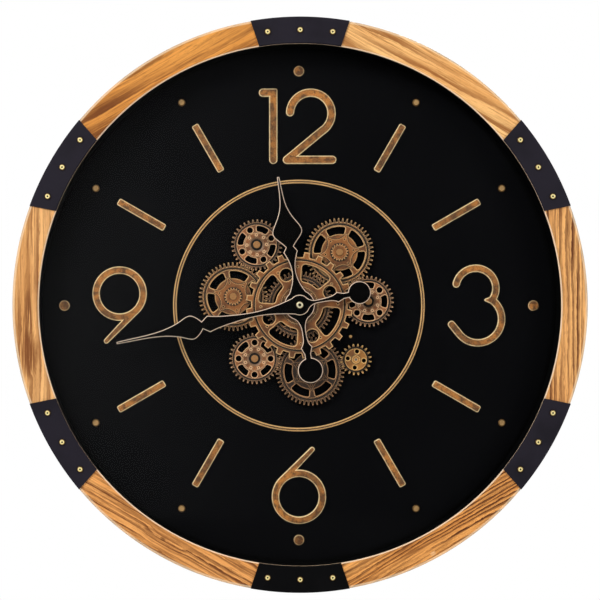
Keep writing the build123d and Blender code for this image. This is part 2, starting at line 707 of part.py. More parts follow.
def small_wheel():
    """Small wheel with a tooth and a round hole at angle 0."""
    pitch = pitch_radius(SMALL_TEETH)
    blank = toothed(SMALL_TEETH, pitch + SMALL_ADDENDUM, pitch - SMALL_DEDENDUM, TOOTH_TIP, TOOTH_ROOT)
    for middle in spread(SMALL_SLOTS):
        blank -= Pos(*polar(SMALL_HOLE_CIRCLE, middle)) * Circle(SMALL_HOLE_RADIUS)
        slot_middle = middle + 180 / SMALL_SLOTS
        blank -= window(SMALL_SLOT_INNER, SMALL_SLOT_OUTER, SMALL_SLOT_SPAN, SMALL_SLOT_CORNER, slot_middle)
    wheel = slab(blank, GEAR_BACK, GEAR_FRONT)
    wheel = chamfer(opening_edges(wheel), EDGE_BEVEL)
    wheel -= groove(SMALL_GROOVE_RADIUS, GEAR_FRONT)
    wheel += disc(SMALL_HUB_RADIUS, GEAR_FRONT, SMALL_HUB_TOP)
    dish = Cone(SMALL_WELL_RADIUS, SMALL_DISH_RADIUS, SMALL_DISH_DEPTH,
                align=(Align.CENTER, Align.CENTER, Align.MAX))
    wheel -= Pos(0, 0, SMALL_HUB_TOP) * dish
    well_floor = SMALL_HUB_TOP - SMALL_WELL_DEPTH
    wheel -= disc(SMALL_WELL_RADIUS, well_floor, SMALL_HUB_TOP)
    wheel += disc(SMALL_BOSS_RADIUS, well_floor, SMALL_HUB_TOP)
    for angle in spread(SMALL_PADS, 180 / SMALL_PADS):
        at = polar(SMALL_PAD_CIRCLE, angle)
        wheel += disc(SMALL_PAD_RADIUS, SMALL_HUB_TOP, SMALL_PAD_TOP, at)
        wheel -= disc(SMALL_PAD_HOLE_RADIUS, SMALL_PAD_TOP - SMALL_PAD_HOLE_DEPTH, SMALL_PAD_TOP, at)
    return wheel - disc(POST_RADIUS + RUNNING_FIT, GEAR_BACK, SMALL_HUB_TOP)


def drive_pinion():
    pitch = pitch_radius(DRIVE_TEETH)
    blank = toothed(DRIVE_TEETH, pitch + SMALL_ADDENDUM, pitch - SMALL_DEDENDUM, TOOTH_TIP, TOOTH_ROOT)
    for middle in spread(DRIVE_HOLES):
        blank -= Pos(*polar(DRIVE_HOLE_CIRCLE, middle)) * Circle(DRIVE_HOLE_RADIUS)
    wheel = slab(blank, GEAR_BACK, GEAR_FRONT)
    wheel = chamfer(opening_edges(wheel), EDGE_BEVEL)
    wheel -= groove(DRIVE_GROOVE_RADIUS, GEAR_FRONT)
    wheel += disc(DRIVE_HUB_RADIUS, GEAR_FRONT, GEAR_FRONT + DRIVE_HUB_RELIEF)
    return wheel - disc(SHAFT_RADIUS + FIT, GEAR_BACK, GEAR_FRONT + DRIVE_HUB_RELIEF)


def front_gear():
    blank = toothed(FRONT_TEETH, FRONT_TIP_RADIUS, FRONT_ROOT_RADIUS, FRONT_TOOTH_TIP, FRONT_TOOTH_ROOT)
    for middle in spread(FRONT_WINDOWS):
        blank -= window(FRONT_WINDOW_INNER, FRONT_WINDOW_OUTER, FRONT_WINDOW_SPAN, FRONT_WINDOW_CORNER,
                        middle + FRONT_WINDOW_TURN)
        blank -= Pos(*polar(FRONT_HOLE_CIRCLE, middle + FRONT_HOLE_TURN)) * Circle(FRONT_HOLE_RADIUS)
    wheel = slab(blank, FRONT_GEAR_BACK, FRONT_GEAR_FRONT)
    wheel = chamfer(front_edges(wheel), EDGE_BEVEL)
    wheel -= groove(FRONT_GROOVE_RADIUS, FRONT_GEAR_FRONT)
    for middle in spread(FRONT_WINDOWS):
        for turn in FRONT_PIN_TURNS:
            at = polar(FRONT_PIN_CIRCLE, middle + turn)
            wheel -= disc(FRONT_PIN_RADIUS, FRONT_GEAR_BACK, FRONT_GEAR_FRONT, at)
    wheel += disc(FRONT_HUB_RADIUS, FRONT_GEAR_FRONT, FRONT_HUB_TOP)
    track_outer = FRONT_STUD_CIRCLE + FRONT_TRACK_WIDTH / 2
    track_inner = FRONT_STUD_CIRCLE - FRONT_TRACK_WIDTH / 2
    wheel -= ring(track_outer, track_inner, FRONT_HUB_TOP - FRONT_TRACK_DEPTH, FRONT_HUB_TOP)
    for angle in spread(FRONT_STUDS):
        stud = disc(FRONT_STUD_RADIUS, FRONT_GEAR_FRONT, FRONT_HUB_TOP, polar(FRONT_STUD_CIRCLE, angle))
        wheel += fillet(front_edges(stud), FRONT_TRACK_DEPTH / 2)
    wheel -= disc(SLEEVE_RADIUS + RUNNING_FIT, FRONT_GEAR_BACK, FRONT_HUB_TOP)
    return Rot(0, 0, FRONT_TURN) * wheel


def gear_post(at, seat):
    """Shouldered post, pressed through the dial, that a wheel turns on."""
    top = seat + AXIAL_PLAY
    post = disc(POST_FLANGE_RADIUS, DIAL_FRONT, GEAR_BACK - AXIAL_PLAY, at)
    post += disc(POST_RADIUS, DIAL_BACK, top, at)
    return post - disc(CAP_PIN_RADIUS + FIT, top - CAP_PIN_LENGTH - FIT, top, at)


def post_cap(at, seat):
    """Cap with a pin that keeps a wheel on its post."""
    low = seat + AXIAL_PLAY
    cap = disc(CAP_RADIUS, low, low + CAP_THICK, at)
    cap = fillet(front_edges(cap), CAP_THICK / 2)
    return cap + disc(CAP_PIN_RADIUS, low - CAP_PIN_LENGTH, low, at)


def centre_sleeve():
    """Flanged sleeve round the movement's bush, on which the centre wheels turn."""
    bore = BUSH_RADIUS + FIT
    sleeve = ring(SLEEVE_FLANGE_RADIUS, bore, DIAL_FRONT, GEAR_BACK - AXIAL_PLAY)
    return sleeve + ring(SLEEVE_RADIUS, bore, DIAL_FRONT, SLEEVE_TOP)


def fixing_nut():
    hexagon = RegularPolygon(FIXING_NUT_SIZE / 2, 6, major_radius=False)
    return slab(hexagon - Circle(BUSH_RADIUS + FIT), SLEEVE_TOP, FIXING_NUT_TOP)


# Hands: each side of the outline is given as (distance from the hand axis, half width), outside the hub
HOUR_ARM = [(18.0, 6.4), (25.0, 3.8), (35.0, 2.1), (46.5, 3.6), (56.8, 7.6)]
HOUR_SPADE = [(62.0, 4.2), (67.9, 9.2), (76.9, 15.6), (88.9, 10.8), (103.9, 4.0), (119.9, 1.9), (136.4, 1.2)]
HOUR_TAIL = [(17.5, 4.6), (24.0, 2.5), (33.0, 2.2), (39.5, 3.0), (45.0, 6.2)]
HOUR_TAIL_NECK = (52.2, 3.4)
HOUR_ARM_ROOT = 9.0             # half width where the arm and the tail leave the hub
HOUR_TAIL_ROOT = 7.5
MINUTE_ARM = [(14.0, 6.8), (27.0, 4.3), (48.0, 2.6), (72.0, 4.2), (88.0, 6.5), (97.5, 8.8)]
MINUTE_SPADE = [(104.2, 4.0), (109.0, 9.2), (115.7, 12.6), (124.5, 9.9), (137.0, 5.4), (153.0, 2.6),
                (173.0, 1.6), (196.0, 1.1)]
MINUTE_TAIL = [(11.2, 3.9), (15.0, 2.2), (22.0, 1.8), (30.0, 2.2), (36.0, 3.2), (40.7, 5.5)]
MINUTE_TAIL_NECK = (47.2, 3.0)
MINUTE_ARM_ROOT = 8.6
MINUTE_TAIL_ROOT = 7.4


def half_chord(radius, distance):
    """Half the chord of a circle at a distance from its centre."""
    return sqrt(radius ** 2 - distance ** 2)


def hand_outline(arm, arm_root, spade, tail, tail_root, tail_neck, hub, tail_at, tail_radius):
    """Hand along +y: a hub, a collared arm with a spade-shaped point, and a round counterweight."""
    arm = [(half_chord(hub, arm_root), arm_root)] + arm
    tail = [(half_chord(hub, tail_root), tail_root)] + tail
    neck_along, neck_half = tail_neck
    disc_along = tail_at - half_chord(tail_radius, neck_half)
    tip_along, tip_half = spade[-1]
    edges = [
        Line((-tip_half, tip_along), (tip_half, tip_along)),
        ThreePointArc((-neck_half, -disc_along), (0, -tail_at - tail_radius), (neck_half, -disc_along)),
    ]
    for side in (-1, 1):
        arm_side = [(side * half, along) for along, half in arm]
        spade_side = [(side * half, along) for along, half in spade]
        tail_side = [(side * half, -along) for along, half in tail]
        neck = (side * neck_half, -neck_along)
        edges += [
            Spline(*arm_side),
            Line(arm_side[-1], spade_side[0]),
            Spline(*spade_side),
            ThreePointArc(arm_side[0], (side * hub, 0), tail_side[0]),
            Spline(*tail_side),
            Line(tail_side[-1], neck),
            Line(neck, (side * neck_half, -disc_along)),
        ]
    return make_face(edges)


def hand(outline, bore, low, clock):
    """Hand with bevelled front edges, turned to a clock angle."""
    high = low + HAND_THICK
    solid = slab(outline, low, high)
    solid = chamfer(front_edges(solid), HAND_BEVEL)
    return Rot(0, 0, -clock) * (solid - disc(bore, low, high))


def hour_hand():
    outline = hand_outline(HOUR_ARM, HOUR_ARM_ROOT, HOUR_SPADE, HOUR_TAIL, HOUR_TAIL_ROOT, HOUR_TAIL_NECK,
                           HOUR_HUB_RADIUS, HOUR_TAIL_AT, HOUR_TAIL_RADIUS)
    return hand(outline, PIPE_RADIUS + FIT, HOUR_HAND_BACK, HOUR_HAND_CLOCK)


def minute_hand():
    outline = hand_outline(MINUTE_ARM, MINUTE_ARM_ROOT, MINUTE_SPADE, MINUTE_TAIL, MINUTE_TAIL_ROOT,
                           MINUTE_TAIL_NECK, MINUTE_HUB_RADIUS, MINUTE_TAIL_AT, MINUTE_TAIL_RADIUS)
    return hand(outline, ARBOR_RADIUS + FIT, MINUTE_HAND_BACK, MINUTE_HAND_CLOCK)


def hand_nut():
    nut = disc(HAND_NUT_RADIUS, MINUTE_HAND_FRONT, HAND_NUT_TOP)
    nut = fillet(front_edges(nut), HAND_NUT_ROUND)
    nut -= disc(HAND_NUT_MOUTH_RADIUS, HAND_NUT_TOP - HAND_NUT_MOUTH_DEPTH, HAND_NUT_TOP)
    return nut - disc(ARBOR_THREAD_RADIUS + FIT, MINUTE_HAND_FRONT, HAND_NUT_TOP)


# Quartz movement
MOVEMENT_BACK = DIAL_BACK - MOVEMENT_DEPTH
MOVEMENT_FLOOR = DIAL_BACK - MOVEMENT_WALL
COVER_FRONT = MOVEMENT_BACK + COVER_THICK
ARBOR_PINION_BACK = COVER_FRONT + WORKS_GAP
ARBOR_PINION_FRONT = ARBOR_PINION_BACK + PINION_LENGTH
HOUR_WHEEL_BACK = ARBOR_PINION_FRONT + WORKS_GAP
HOUR_WHEEL_FRONT = HOUR_WHEEL_BACK + WORKS_WHEEL_THICK
MOTION_AT = (0, MOTION_DISTANCE)
MOTION_STEM_END = MOVEMENT_FLOOR + MOVEMENT_WALL / 2
FIRST_MODULE = 2 * MOTION_DISTANCE / (ARBOR_PINION_TEETH + MOTION_WHEEL_TEETH)
SECOND_MODULE = 2 * MOTION_DISTANCE / (MOTION_PINION_TEETH + HOUR_WHEEL_TEETH)
WORKS_TOP = MOVEMENT_SIZE / 2 - MOVEMENT_WALL
WORKS_HEIGHT = WORKS_TOP + WORKS_DROP
WORKS_AT = (0, (WORKS_TOP - WORKS_DROP) / 2)
WORKS_WIDTH = MOVEMENT_SIZE - 2 * MOVEMENT_WALL


def works_wheel(teeth, module):
    pitch = teeth * module / 2
    return toothed(teeth, pitch + WORKS_ADDENDUM * module, pitch - WORKS_DEDENDUM * module,
                   WORKS_TIP * module, WORKS_ROOT * module)


def movement_case():
    """Case with a works pocket and a cell bay, both open to the rear, and a bush through the dial."""
    case = slab(RectangleRounded(MOVEMENT_SIZE, MOVEMENT_SIZE, MOVEMENT_CORNER), MOVEMENT_BACK, DIAL_BACK)
    case -= block(WORKS_WIDTH, WORKS_HEIGHT, MOVEMENT_BACK, MOVEMENT_FLOOR, WORKS_AT)
    case -= cell_bay(MOVEMENT_CELL_AT, MOVEMENT_BACK, MOVEMENT_FLOOR)
    case += disc(BUSH_RADIUS, MOVEMENT_FLOOR, FIXING_NUT_TOP)
    case -= disc(PIPE_RADIUS + RUNNING_FIT, MOVEMENT_FLOOR, FIXING_NUT_TOP)
    stem_hole_end = MOTION_STEM_END + AXIAL_PLAY
    return case - disc(MOTION_STEM_RADIUS + RUNNING_FIT, MOVEMENT_FLOOR, stem_hole_end, MOTION_AT)


def movement_cover():
    cover = block(WORKS_WIDTH - 2 * FIT, WORKS_HEIGHT - 2 * FIT, MOVEMENT_BACK, COVER_FRONT, WORKS_AT)
    return cover - disc(MOTION_STEM_RADIUS + RUNNING_FIT, MOVEMENT_BACK, COVER_FRONT, MOTION_AT)


def minute_arbor():
    pinion = works_wheel(ARBOR_PINION_TEETH, FIRST_MODULE)
    arbor = slab(pinion, ARBOR_PINION_BACK, ARBOR_PINION_FRONT)
    arbor += disc(ARBOR_RADIUS, COVER_FRONT + AXIAL_PLAY, MINUTE_HAND_FRONT)
    return arbor + disc(ARBOR_THREAD_RADIUS, MINUTE_HAND_FRONT, MINUTE_HAND_FRONT + ARBOR_THREAD_LENGTH)


def hour_wheel():
    bore = ARBOR_RADIUS + RUNNING_FIT
    turn = meshed_turn(MOTION_PINION_TEETH, 0.0, -90.0, HOUR_WHEEL_TEETH, 360, 0.0)
    outline = Rot(0, 0, turn) * works_wheel(HOUR_WHEEL_TEETH, SECOND_MODULE)
    wheel = slab(outline - Circle(bore), HOUR_WHEEL_BACK, HOUR_WHEEL_FRONT)
    return wheel + ring(PIPE_RADIUS, bore, HOUR_WHEEL_BACK, HOUR_HAND_FRONT + PIPE_PROUD)


def motion_wheel():
    """Wheel and pinion that slow the hour hand, on the stem of the setting knob."""
    turn = meshed_turn(ARBOR_PINION_TEETH, 0.0, 90.0, MOTION_WHEEL_TEETH, 360, 0.0)
    outline = Rot(0, 0, turn) * works_wheel(MOTION_WHEEL_TEETH, FIRST_MODULE)
    low = ARBOR_PINION_BACK + WORKS_GAP / 2
    wheel = slab(outline, low, low + WORKS_WHEEL_THICK)
    wheel += slab(works_wheel(MOTION_PINION_TEETH, SECOND_MODULE), low, HOUR_WHEEL_FRONT + WORKS_GAP)
    wheel += disc(MOTION_STEM_RADIUS, MOVEMENT_BACK - AXIAL_PLAY, MOTION_STEM_END)
    return place(wheel, MOTION_AT)


def setting_knob():
    high = MOVEMENT_BACK - AXIAL_PLAY
    outline = toothed(KNOB_RIDGES, KNOB_RADIUS, KNOB_RADIUS - KNOB_RIDGE / 2, KNOB_RIDGE / 2, KNOB_RIDGE)
    return place(slab(outline, high - KNOB_THICK, high), MOTION_AT)


# Cells
def cell_bay(at, low, high):
    return block(CELL_BAY_LENGTH, CELL_BAY_WIDTH, low, high, at)


def cell(at, floor):
    """Round cell lying along x against the bay's floor, with its button to the right."""
    middle = floor - CELL_RADIUS
    left = at[0] - (CELL_LENGTH + CELL_BUTTON_LENGTH) / 2
    lying = Pos(left, at[1], middle) * Rot(0, 90, 0)
    body = Cylinder(CELL_RADIUS, CELL_LENGTH, align=(Align.CENTER, Align.CENTER, Align.MIN))
    button = Cylinder(CELL_BUTTON_RADIUS, CELL_LENGTH + CELL_BUTTON_LENGTH,
                      align=(Align.CENTER, Align.CENTER, Align.MIN))
    return lying * (body + button)


def cell_contacts(at, floor):
    """Contact plates at both ends of a bay."""
    reach = (CELL_BAY_LENGTH - CONTACT_THICK) / 2
    low = floor - CELL_RADIUS - CONTACT_WIDTH / 2
    return [block(CONTACT_THICK, CONTACT_WIDTH, low, floor, (at[0] + side * reach, at[1])) for side in (-1, 1)]


# Gear motor and its cell holder
SUN_AT = (0, 0)
LEFT_AT = mesh_point(SUN_AT, LARGE_TEETH, LEFT_DIRECTION, LARGE_TEETH)
UPPER_RIGHT_AT = mesh_point(SUN_AT, LARGE_TEETH, UPPER_RIGHT_DIRECTION, LARGE_TEETH)
BOTTOM_AT = mesh_point(SUN_AT, LARGE_TEETH, BOTTOM_DIRECTION, LARGE_TEETH)
UPPER_LEFT_AT = mesh_point(LEFT_AT, LARGE_TEETH, UPPER_LEFT_DIRECTION, SMALL_TEETH)
RIGHT_AT = mesh_point(UPPER_RIGHT_AT, LARGE_TEETH, RIGHT_DIRECTION, SMALL_TEETH)
LOWER_LEFT_AT = mesh_point(BOTTOM_AT, LARGE_TEETH, LOWER_LEFT_DIRECTION, SMALL_TEETH)
DRIVE_AT = mesh_point(BOTTOM_AT, LARGE_TEETH, DRIVE_DIRECTION, DRIVE_TEETH)
MOTOR_BACK = DIAL_BACK - MOTOR_DEPTH
HOLDER_AT = (DRIVE_AT[0], DRIVE_AT[1] - MOTOR_SIZE / 2 - HOLDER_HEIGHT / 2)
HOLDER_BACK = DIAL_BACK - HOLDER_DEPTH
HOLDER_FLOOR = DIAL_BACK - HOLDER_WALL
CAN_BACK = MOTOR_BACK + MOTOR_WALL


def ear_screw_points(at, length):
    return [(at[0] + side * (length + EAR_LENGTH) / 2, at[1]) for side in (-1, 1)]


def with_ears(body, at, length):
    """Body with a screw ear at each end, against the back of the dial."""
    low = DIAL_BACK - EAR_THICK
    for point in ear_screw_points(at, length):
        body += block(EAR_LENGTH, EAR_WIDTH, low, DIAL_BACK, point)
        body -= screw_hole(SMALL_SCREW_RADIUS, SMALL_SCREW_HEAD, SMALL_SCREW_LENGTH, point, low)
    return body


def motor_case():
    inside = MOTOR_SIZE - 2 * MOTOR_WALL
    case = block(MOTOR_SIZE, MOTOR_SIZE, MOTOR_BACK, DIAL_BACK, DRIVE_AT)
    case -= block(inside, inside, CAN_BACK, DIAL_BACK, DRIVE_AT)
    return with_ears(case, DRIVE_AT, MOTOR_SIZE)


def motor_can():
    can = disc(CAN_RADIUS, CAN_BACK, CAN_BACK + CAN_LENGTH, DRIVE_AT)
    return can - disc(SHAFT_RADIUS + RUNNING_FIT, CAN_BACK + MOTOR_WALL, CAN_BACK + CAN_LENGTH, DRIVE_AT)


def motor_shaft():
    return disc(SHAFT_RADIUS, CAN_BACK + MOTOR_WALL + AXIAL_PLAY, GEAR_FRONT + DRIVE_HUB_RELIEF, DRIVE_AT)


def holder_cell_points():
    pitch = CELL_BAY_WIDTH + HOLDER_WALL
    first = HOLDER_AT[1] - pitch * (HOLDER_CELLS - 1) / 2
    return [(HOLDER_AT[0], first + pitch * k) for k in range(HOLDER_CELLS)]


def cell_holder():
    holder = block(HOLDER_LENGTH, HOLDER_HEIGHT, HOLDER_BACK, DIAL_BACK, HOLDER_AT)
    for at in holder_cell_points():
        holder -= cell_bay(at, HOLDER_BACK, HOLDER_FLOOR)
    return with_ears(holder, HOLDER_AT, HOLDER_LENGTH)


# Sheets of the case
def dial_panel():
    posts = [LEFT_AT, UPPER_RIGHT_AT, BOTTOM_AT, UPPER_LEFT_AT, RIGHT_AT, LOWER_LEFT_AT]
    outline = Circle(INSERT_RADIUS) - Circle(BUSH_RADIUS + FIT)
    outline -= Pos(*DRIVE_AT) * Circle(SHAFT_RADIUS + SHAFT_HOLE_GAP)
    outline -= Pos(*DIAL_PIN_AT) * Circle(DIAL_PIN_SHANK + FIT)
    for at in posts:
        outline -= Pos(*at) * Circle(POST_RADIUS + FIT)
    panel = slab(outline, DIAL_BACK, DIAL_FRONT)
    for at in ear_screw_points(DRIVE_AT, MOTOR_SIZE) + ear_screw_points(HOLDER_AT, HOLDER_LENGTH):
        panel -= screw_hole(SMALL_SCREW_RADIUS, SMALL_SCREW_HEAD, SMALL_SCREW_LENGTH, at, DIAL_BACK - EAR_THICK)
    return panel


def hanger_screw_points():
    return [(side * HANGER_SCREW_SPACING / 2, KEYHOLE_HEIGHT) for side in (-1, 1)]


def hanger_plate():
    """Steel plate with a keyhole for one wall screw."""
    outline = Pos(*KEYHOLE_AT) * RectangleRounded(HANGER_WIDTH, HANGER_HEIGHT, HANGER_CORNER)
    outline -= Pos(*KEYHOLE_AT) * Circle(KEYHOLE_RADIUS)
    slot_top = (0, KEYHOLE_HEIGHT + KEYHOLE_SLOT_RISE)
    outline -= stroke(KEYHOLE_AT, slot_top, KEYHOLE_SLOT_WIDTH, KEYHOLE_SLOT_WIDTH)
    plate = slab(outline, 0, HANGER_THICK)
    for at in hanger_screw_points():
        plate -= screw_hole(SMALL_SCREW_RADIUS, SMALL_SCREW_HEAD, SMALL_SCREW_LENGTH, at, 0)
    return plate


def back_board():
    """Board screwed to the ring, open behind the movement, the cell holder and the keyhole."""
    movement_access = MOVEMENT_SIZE + 2 * ACCESS_GAP
    holder_access = (HOLDER_LENGTH + 2 * ACCESS_GAP, HOLDER_HEIGHT + 2 * ACCESS_GAP)
    slot_top = (0, KEYHOLE_HEIGHT + KEYHOLE_SLOT_RISE)
    pocket_width = 2 * (KEYHOLE_RADIUS + POCKET_MARGIN)
    outline = Circle(BOARD_RADIUS) - Rectangle(movement_access, movement_access)
    outline -= Pos(*HOLDER_AT) * Rectangle(*holder_access)
    outline -= stroke(KEYHOLE_AT, slot_top, pocket_width, pocket_width)
    board = slab(outline, BOARD_BACK, BOARD_FRONT)
    for at in all_board_screw_points():
        board -= screw_hole(BOARD_SCREW_RADIUS, BOARD_SCREW_HEAD, BOARD_SCREW_LENGTH, at, BOARD_BACK)
    for at in hanger_screw_points():
        board -= screw_hole(SMALL_SCREW_RADIUS, SMALL_SCREW_HEAD, SMALL_SCREW_LENGTH, at, 0)
    return board


def all_board_screw_points():
    starts = spread(SEGMENTS, 90 - SEGMENT_SPAN)
    return [at for start in starts for at in board_screw_points(start)]


def main():
    os.makedirs("parts", exist_ok=True)

    segment = wood_segment()
    strap = strap_plate()
    studs = []
    for k in range(SEGMENTS):
        joint = 90 - SEGMENT_SPAN * k
        save(f"wood_segment_{k + 1}", Rot(0, 0, joint - SEGMENT_SPAN) * segment)
        save(f"strap_plate_{k + 1}", Rot(0, 0, joint) * strap)
        studs += [strap_stud(at) for at in strap_stud_points(joint)]
    save("strap_studs", *studs)

    save("glass_pane", disc(INSERT_RADIUS, GLASS_BACK, GLASS_FRONT))
    save("inner_liner", ring(INSERT_RADIUS, RING_INNER, DIAL_FRONT, GLASS_BACK))
    save("dial_panel", dial_panel())
    save("rear_spacer", ring(INSERT_RADIUS, INSERT_RADIUS - SPACER_WIDTH, BOARD_FRONT, DIAL_BACK))
    save("back_board", back_board())
    save("hanger_plate", hanger_plate())
    save("board_screws", *[cross_screw(BOARD_SCREW_RADIUS, BOARD_SCREW_HEAD, BOARD_SCREW_LENGTH, at, BOARD_BACK)
                           for at in all_board_screw_points()])

    save("gear_surround", gear_surround())
    save("numeral_12", raised(Pos(0, NUMERAL_RADIUS) * numeral_one()),
         raised(Pos(0, NUMERAL_RADIUS) * numeral_two()))
    save("numeral_3", raised(Pos(NUMERAL_RADIUS, 0) * numeral_three()))
    save("numeral_6", raised(Pos(0, -NUMERAL_RADIUS) * numeral_six()))
    save("numeral_9", raised(Pos(-NUMERAL_RADIUS, 0) * Rot(0, 0, 180) * numeral_six()))
    plain_hours = [hour for hour in range(1, 12) if hour % 3]
    save("hour_batons", *[baton(hour) for hour in plain_hours])
    save("hour_dots", *[dot(hour, HOUR_DOT_RADIUS) for hour in plain_hours])
    save("quarter_dots", *[dot(hour, QUARTER_DOT_RADIUS) for hour in (3, 6, 9, 12)])
    save("dial_pin", dial_pin())

    large = large_wheel()
    small = small_wheel()
    left_turn = large_turn(LEFT_DIRECTION, LEFT_SPOKE)
    upper_right_turn = large_turn(UPPER_RIGHT_DIRECTION, UPPER_RIGHT_SPOKE)
    bottom_turn = large_turn(BOTTOM_DIRECTION, BOTTOM_SPOKE)
    upper_left_turn = small_turn(left_turn, UPPER_LEFT_DIRECTION, UPPER_LEFT_HOLE)
    right_turn = small_turn(upper_right_turn, RIGHT_DIRECTION, RIGHT_HOLE)
    lower_left_turn = small_turn(bottom_turn, LOWER_LEFT_DIRECTION, LOWER_LEFT_HOLE)
    drive_turn = meshed_turn(LARGE_TEETH, bottom_turn, DRIVE_DIRECTION, DRIVE_TEETH, 360 / DRIVE_HOLES,
                             DRIVE_HOLE)
    save("sun_gear", place(sun_gear(), SUN_AT, SUN_TURN))
    save("front_gear", front_gear())
    save("gear_left", place(large, LEFT_AT, left_turn))
    save("gear_upper_right", place(large, UPPER_RIGHT_AT, upper_right_turn))
    save("gear_bottom", place(large, BOTTOM_AT, bottom_turn))
    save("gear_upper_left", place(small, UPPER_LEFT_AT, upper_left_turn))
    save("gear_right", place(small, RIGHT_AT, right_turn))
    save("gear_lower_left", place(small, LOWER_LEFT_AT, lower_left_turn))
    save("drive_pinion", place(drive_pinion(), DRIVE_AT, drive_turn))

    posts = [(at, BOSS_TOP) for at in (LEFT_AT, UPPER_RIGHT_AT, BOTTOM_AT)]
    posts += [(at, SMALL_HUB_TOP) for at in (UPPER_LEFT_AT, RIGHT_AT, LOWER_LEFT_AT)]
    save("gear_posts", *[gear_post(at, seat) for at, seat in posts])
    save("post_caps", *[post_cap(at, seat) for at, seat in posts])
    save("centre_sleeve", centre_sleeve())
    save("fixing_nut", fixing_nut())

    save("hour_hand", hour_hand())
    save("minute_hand", minute_hand())
    save("hand_nut", hand_nut())

    save("movement_case", movement_case())
    save("movement_cover", movement_cover())
    save("minute_arbor", minute_arbor())
    save("hour_wheel", hour_wheel())
    save("motion_wheel", motion_wheel())
    save("setting_knob", setting_knob())
    save("movement_cell", cell(MOVEMENT_CELL_AT, MOVEMENT_FLOOR))

    save("motor_case", motor_case())
    save("motor_can", motor_can())
    save("motor_shaft", motor_shaft())
    save("cell_holder", cell_holder())
    save("holder_cells", *[cell(at, HOLDER_FLOOR) for at in holder_cell_points()])
    contacts = cell_contacts(MOVEMENT_CELL_AT, MOVEMENT_FLOOR)
    for at in holder_cell_points():
        contacts += cell_contacts(at, HOLDER_FLOOR)
    save("cell_contacts", *contacts)

    ear_points = ear_screw_points(DRIVE_AT, MOTOR_SIZE) + ear_screw_points(HOLDER_AT, HOLDER_LENGTH)
    small_screws = [(at, DIAL_BACK - EAR_THICK) for at in ear_points]
    small_screws += [(at, 0) for at in hanger_screw_points()]
    save("small_screws", *[cross_screw(SMALL_SCREW_RADIUS, SMALL_SCREW_HEAD, SMALL_SCREW_LENGTH, at, low)
                           for at, low in small_screws])


main()
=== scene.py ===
"""Finishes, light and camera for a wooden gear clock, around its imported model."""

import json
from math import cos, radians, sin
from typing import NamedTuple

import bmesh
import bpy
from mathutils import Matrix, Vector


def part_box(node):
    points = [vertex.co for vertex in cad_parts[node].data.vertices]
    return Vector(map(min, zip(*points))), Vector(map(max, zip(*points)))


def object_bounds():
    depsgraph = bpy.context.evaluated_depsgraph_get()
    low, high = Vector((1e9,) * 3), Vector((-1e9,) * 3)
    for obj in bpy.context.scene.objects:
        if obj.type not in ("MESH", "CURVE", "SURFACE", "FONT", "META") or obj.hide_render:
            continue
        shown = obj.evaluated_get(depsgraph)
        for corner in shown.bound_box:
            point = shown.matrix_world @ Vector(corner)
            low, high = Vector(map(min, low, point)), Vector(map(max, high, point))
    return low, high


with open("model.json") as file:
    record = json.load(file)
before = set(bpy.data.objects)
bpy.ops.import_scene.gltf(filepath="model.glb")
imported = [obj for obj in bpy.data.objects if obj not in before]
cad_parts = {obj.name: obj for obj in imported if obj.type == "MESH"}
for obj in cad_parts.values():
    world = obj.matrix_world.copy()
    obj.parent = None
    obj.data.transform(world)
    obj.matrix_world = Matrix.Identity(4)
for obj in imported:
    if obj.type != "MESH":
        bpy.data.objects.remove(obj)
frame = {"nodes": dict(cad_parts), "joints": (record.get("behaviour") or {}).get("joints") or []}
cad_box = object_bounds()
nodes = frame["nodes"]
joint_places = {joint["name"]: Vector(joint["pos_m"]) for joint in frame["joints"]}

MM = 0.001
WHITE = (1.0, 1.0, 1.0, 1.0)

# Places read from the frame, in metres
HAND_AXIS = joint_places["centre_spin"]
FRONT = cad_box[0].y
BOTTOM = cad_box[0].z

# Camera: the front of the clock seen square on, a little from the left and below
PHOTO_PIXELS = 600
AXIS_PIXEL = (300.25, 304.65)       # where the hand axis falls in the picture, from its top left
PIXEL_SIZE = 0.0010401              # metres to a pixel at the front of the clock
EYE_DISTANCE = 2.0                  # from the front of the clock
EYE_SIDE = -0.078                   # to the right of the hand axis
EYE_RISE = -0.053                   # and above it
SENSOR = 36.0                       # millimetres

# Floor and room, in metres and in strengths of light
FLOOR_DROP = 0.25                   # below the clock
FLOOR_SIDE = 2.2                    # half its width
FLOOR_BACK = 1.6                    # how far it reaches behind the clock
FLOOR_FRONT = -3.9                  # and in front
FADE_NEAR = 0.5                     # where the floor begins to fade into the white room
FADE_FAR = 1.5                      # and where nothing of it is left
AMBIENT = 0.34                      # glow from all round
ROOM_DARK = 0.03                    # what a mirror sees of the room in front
ROOM_LEFT = 0.8                     # and to its left
ROOM_FLOOR = 0.16                   # and of the floor in front
BEHIND = (-0.1, 0.1)                # where what lies in front ends and what lies behind begins
LEFT_SIDE = (0.08, -0.12)           # where the room's left begins, and where it is full

# Rim and plates: radii in metres, turns in degrees
BOARD_SPREAD = 60.0                 # from board to board, and from plate to plate
GRAIN_TURN = 150.0                  # of the first board's grain
PATTERN_STEP = 1.3                  # metres between the boards' places in the pattern of the grain
RIM_EDGE = 0.2974                   # where the rim's front edge is rounded
LIP_EDGE = 0.2736                   # where its lip is bevelled
LIP_WALL = 0.2724                   # and where it drops to the glass
STUD_SPREAD = 6.8                   # from stud to stud on a plate
STUD_HEAD = 0.0031                  # a stud's head
STUD_RIM = (1.8 * MM, 2.7 * MM)     # where painted shade begins to brown the dome's rim, and where it is brown
STUD_DIMPLE = (1.15 * MM, 0.75 * MM)    # where its dimple begins, and where it is deep

# Hubs of the small wheels, radii in metres
DISH = (8.2 * MM, 7.4 * MM)         # where painted shade in the dished hub begins, and where it is dark
WELL = (6.1 * MM, 5.6 * MM)         # the same for the painted shade in the well round the post
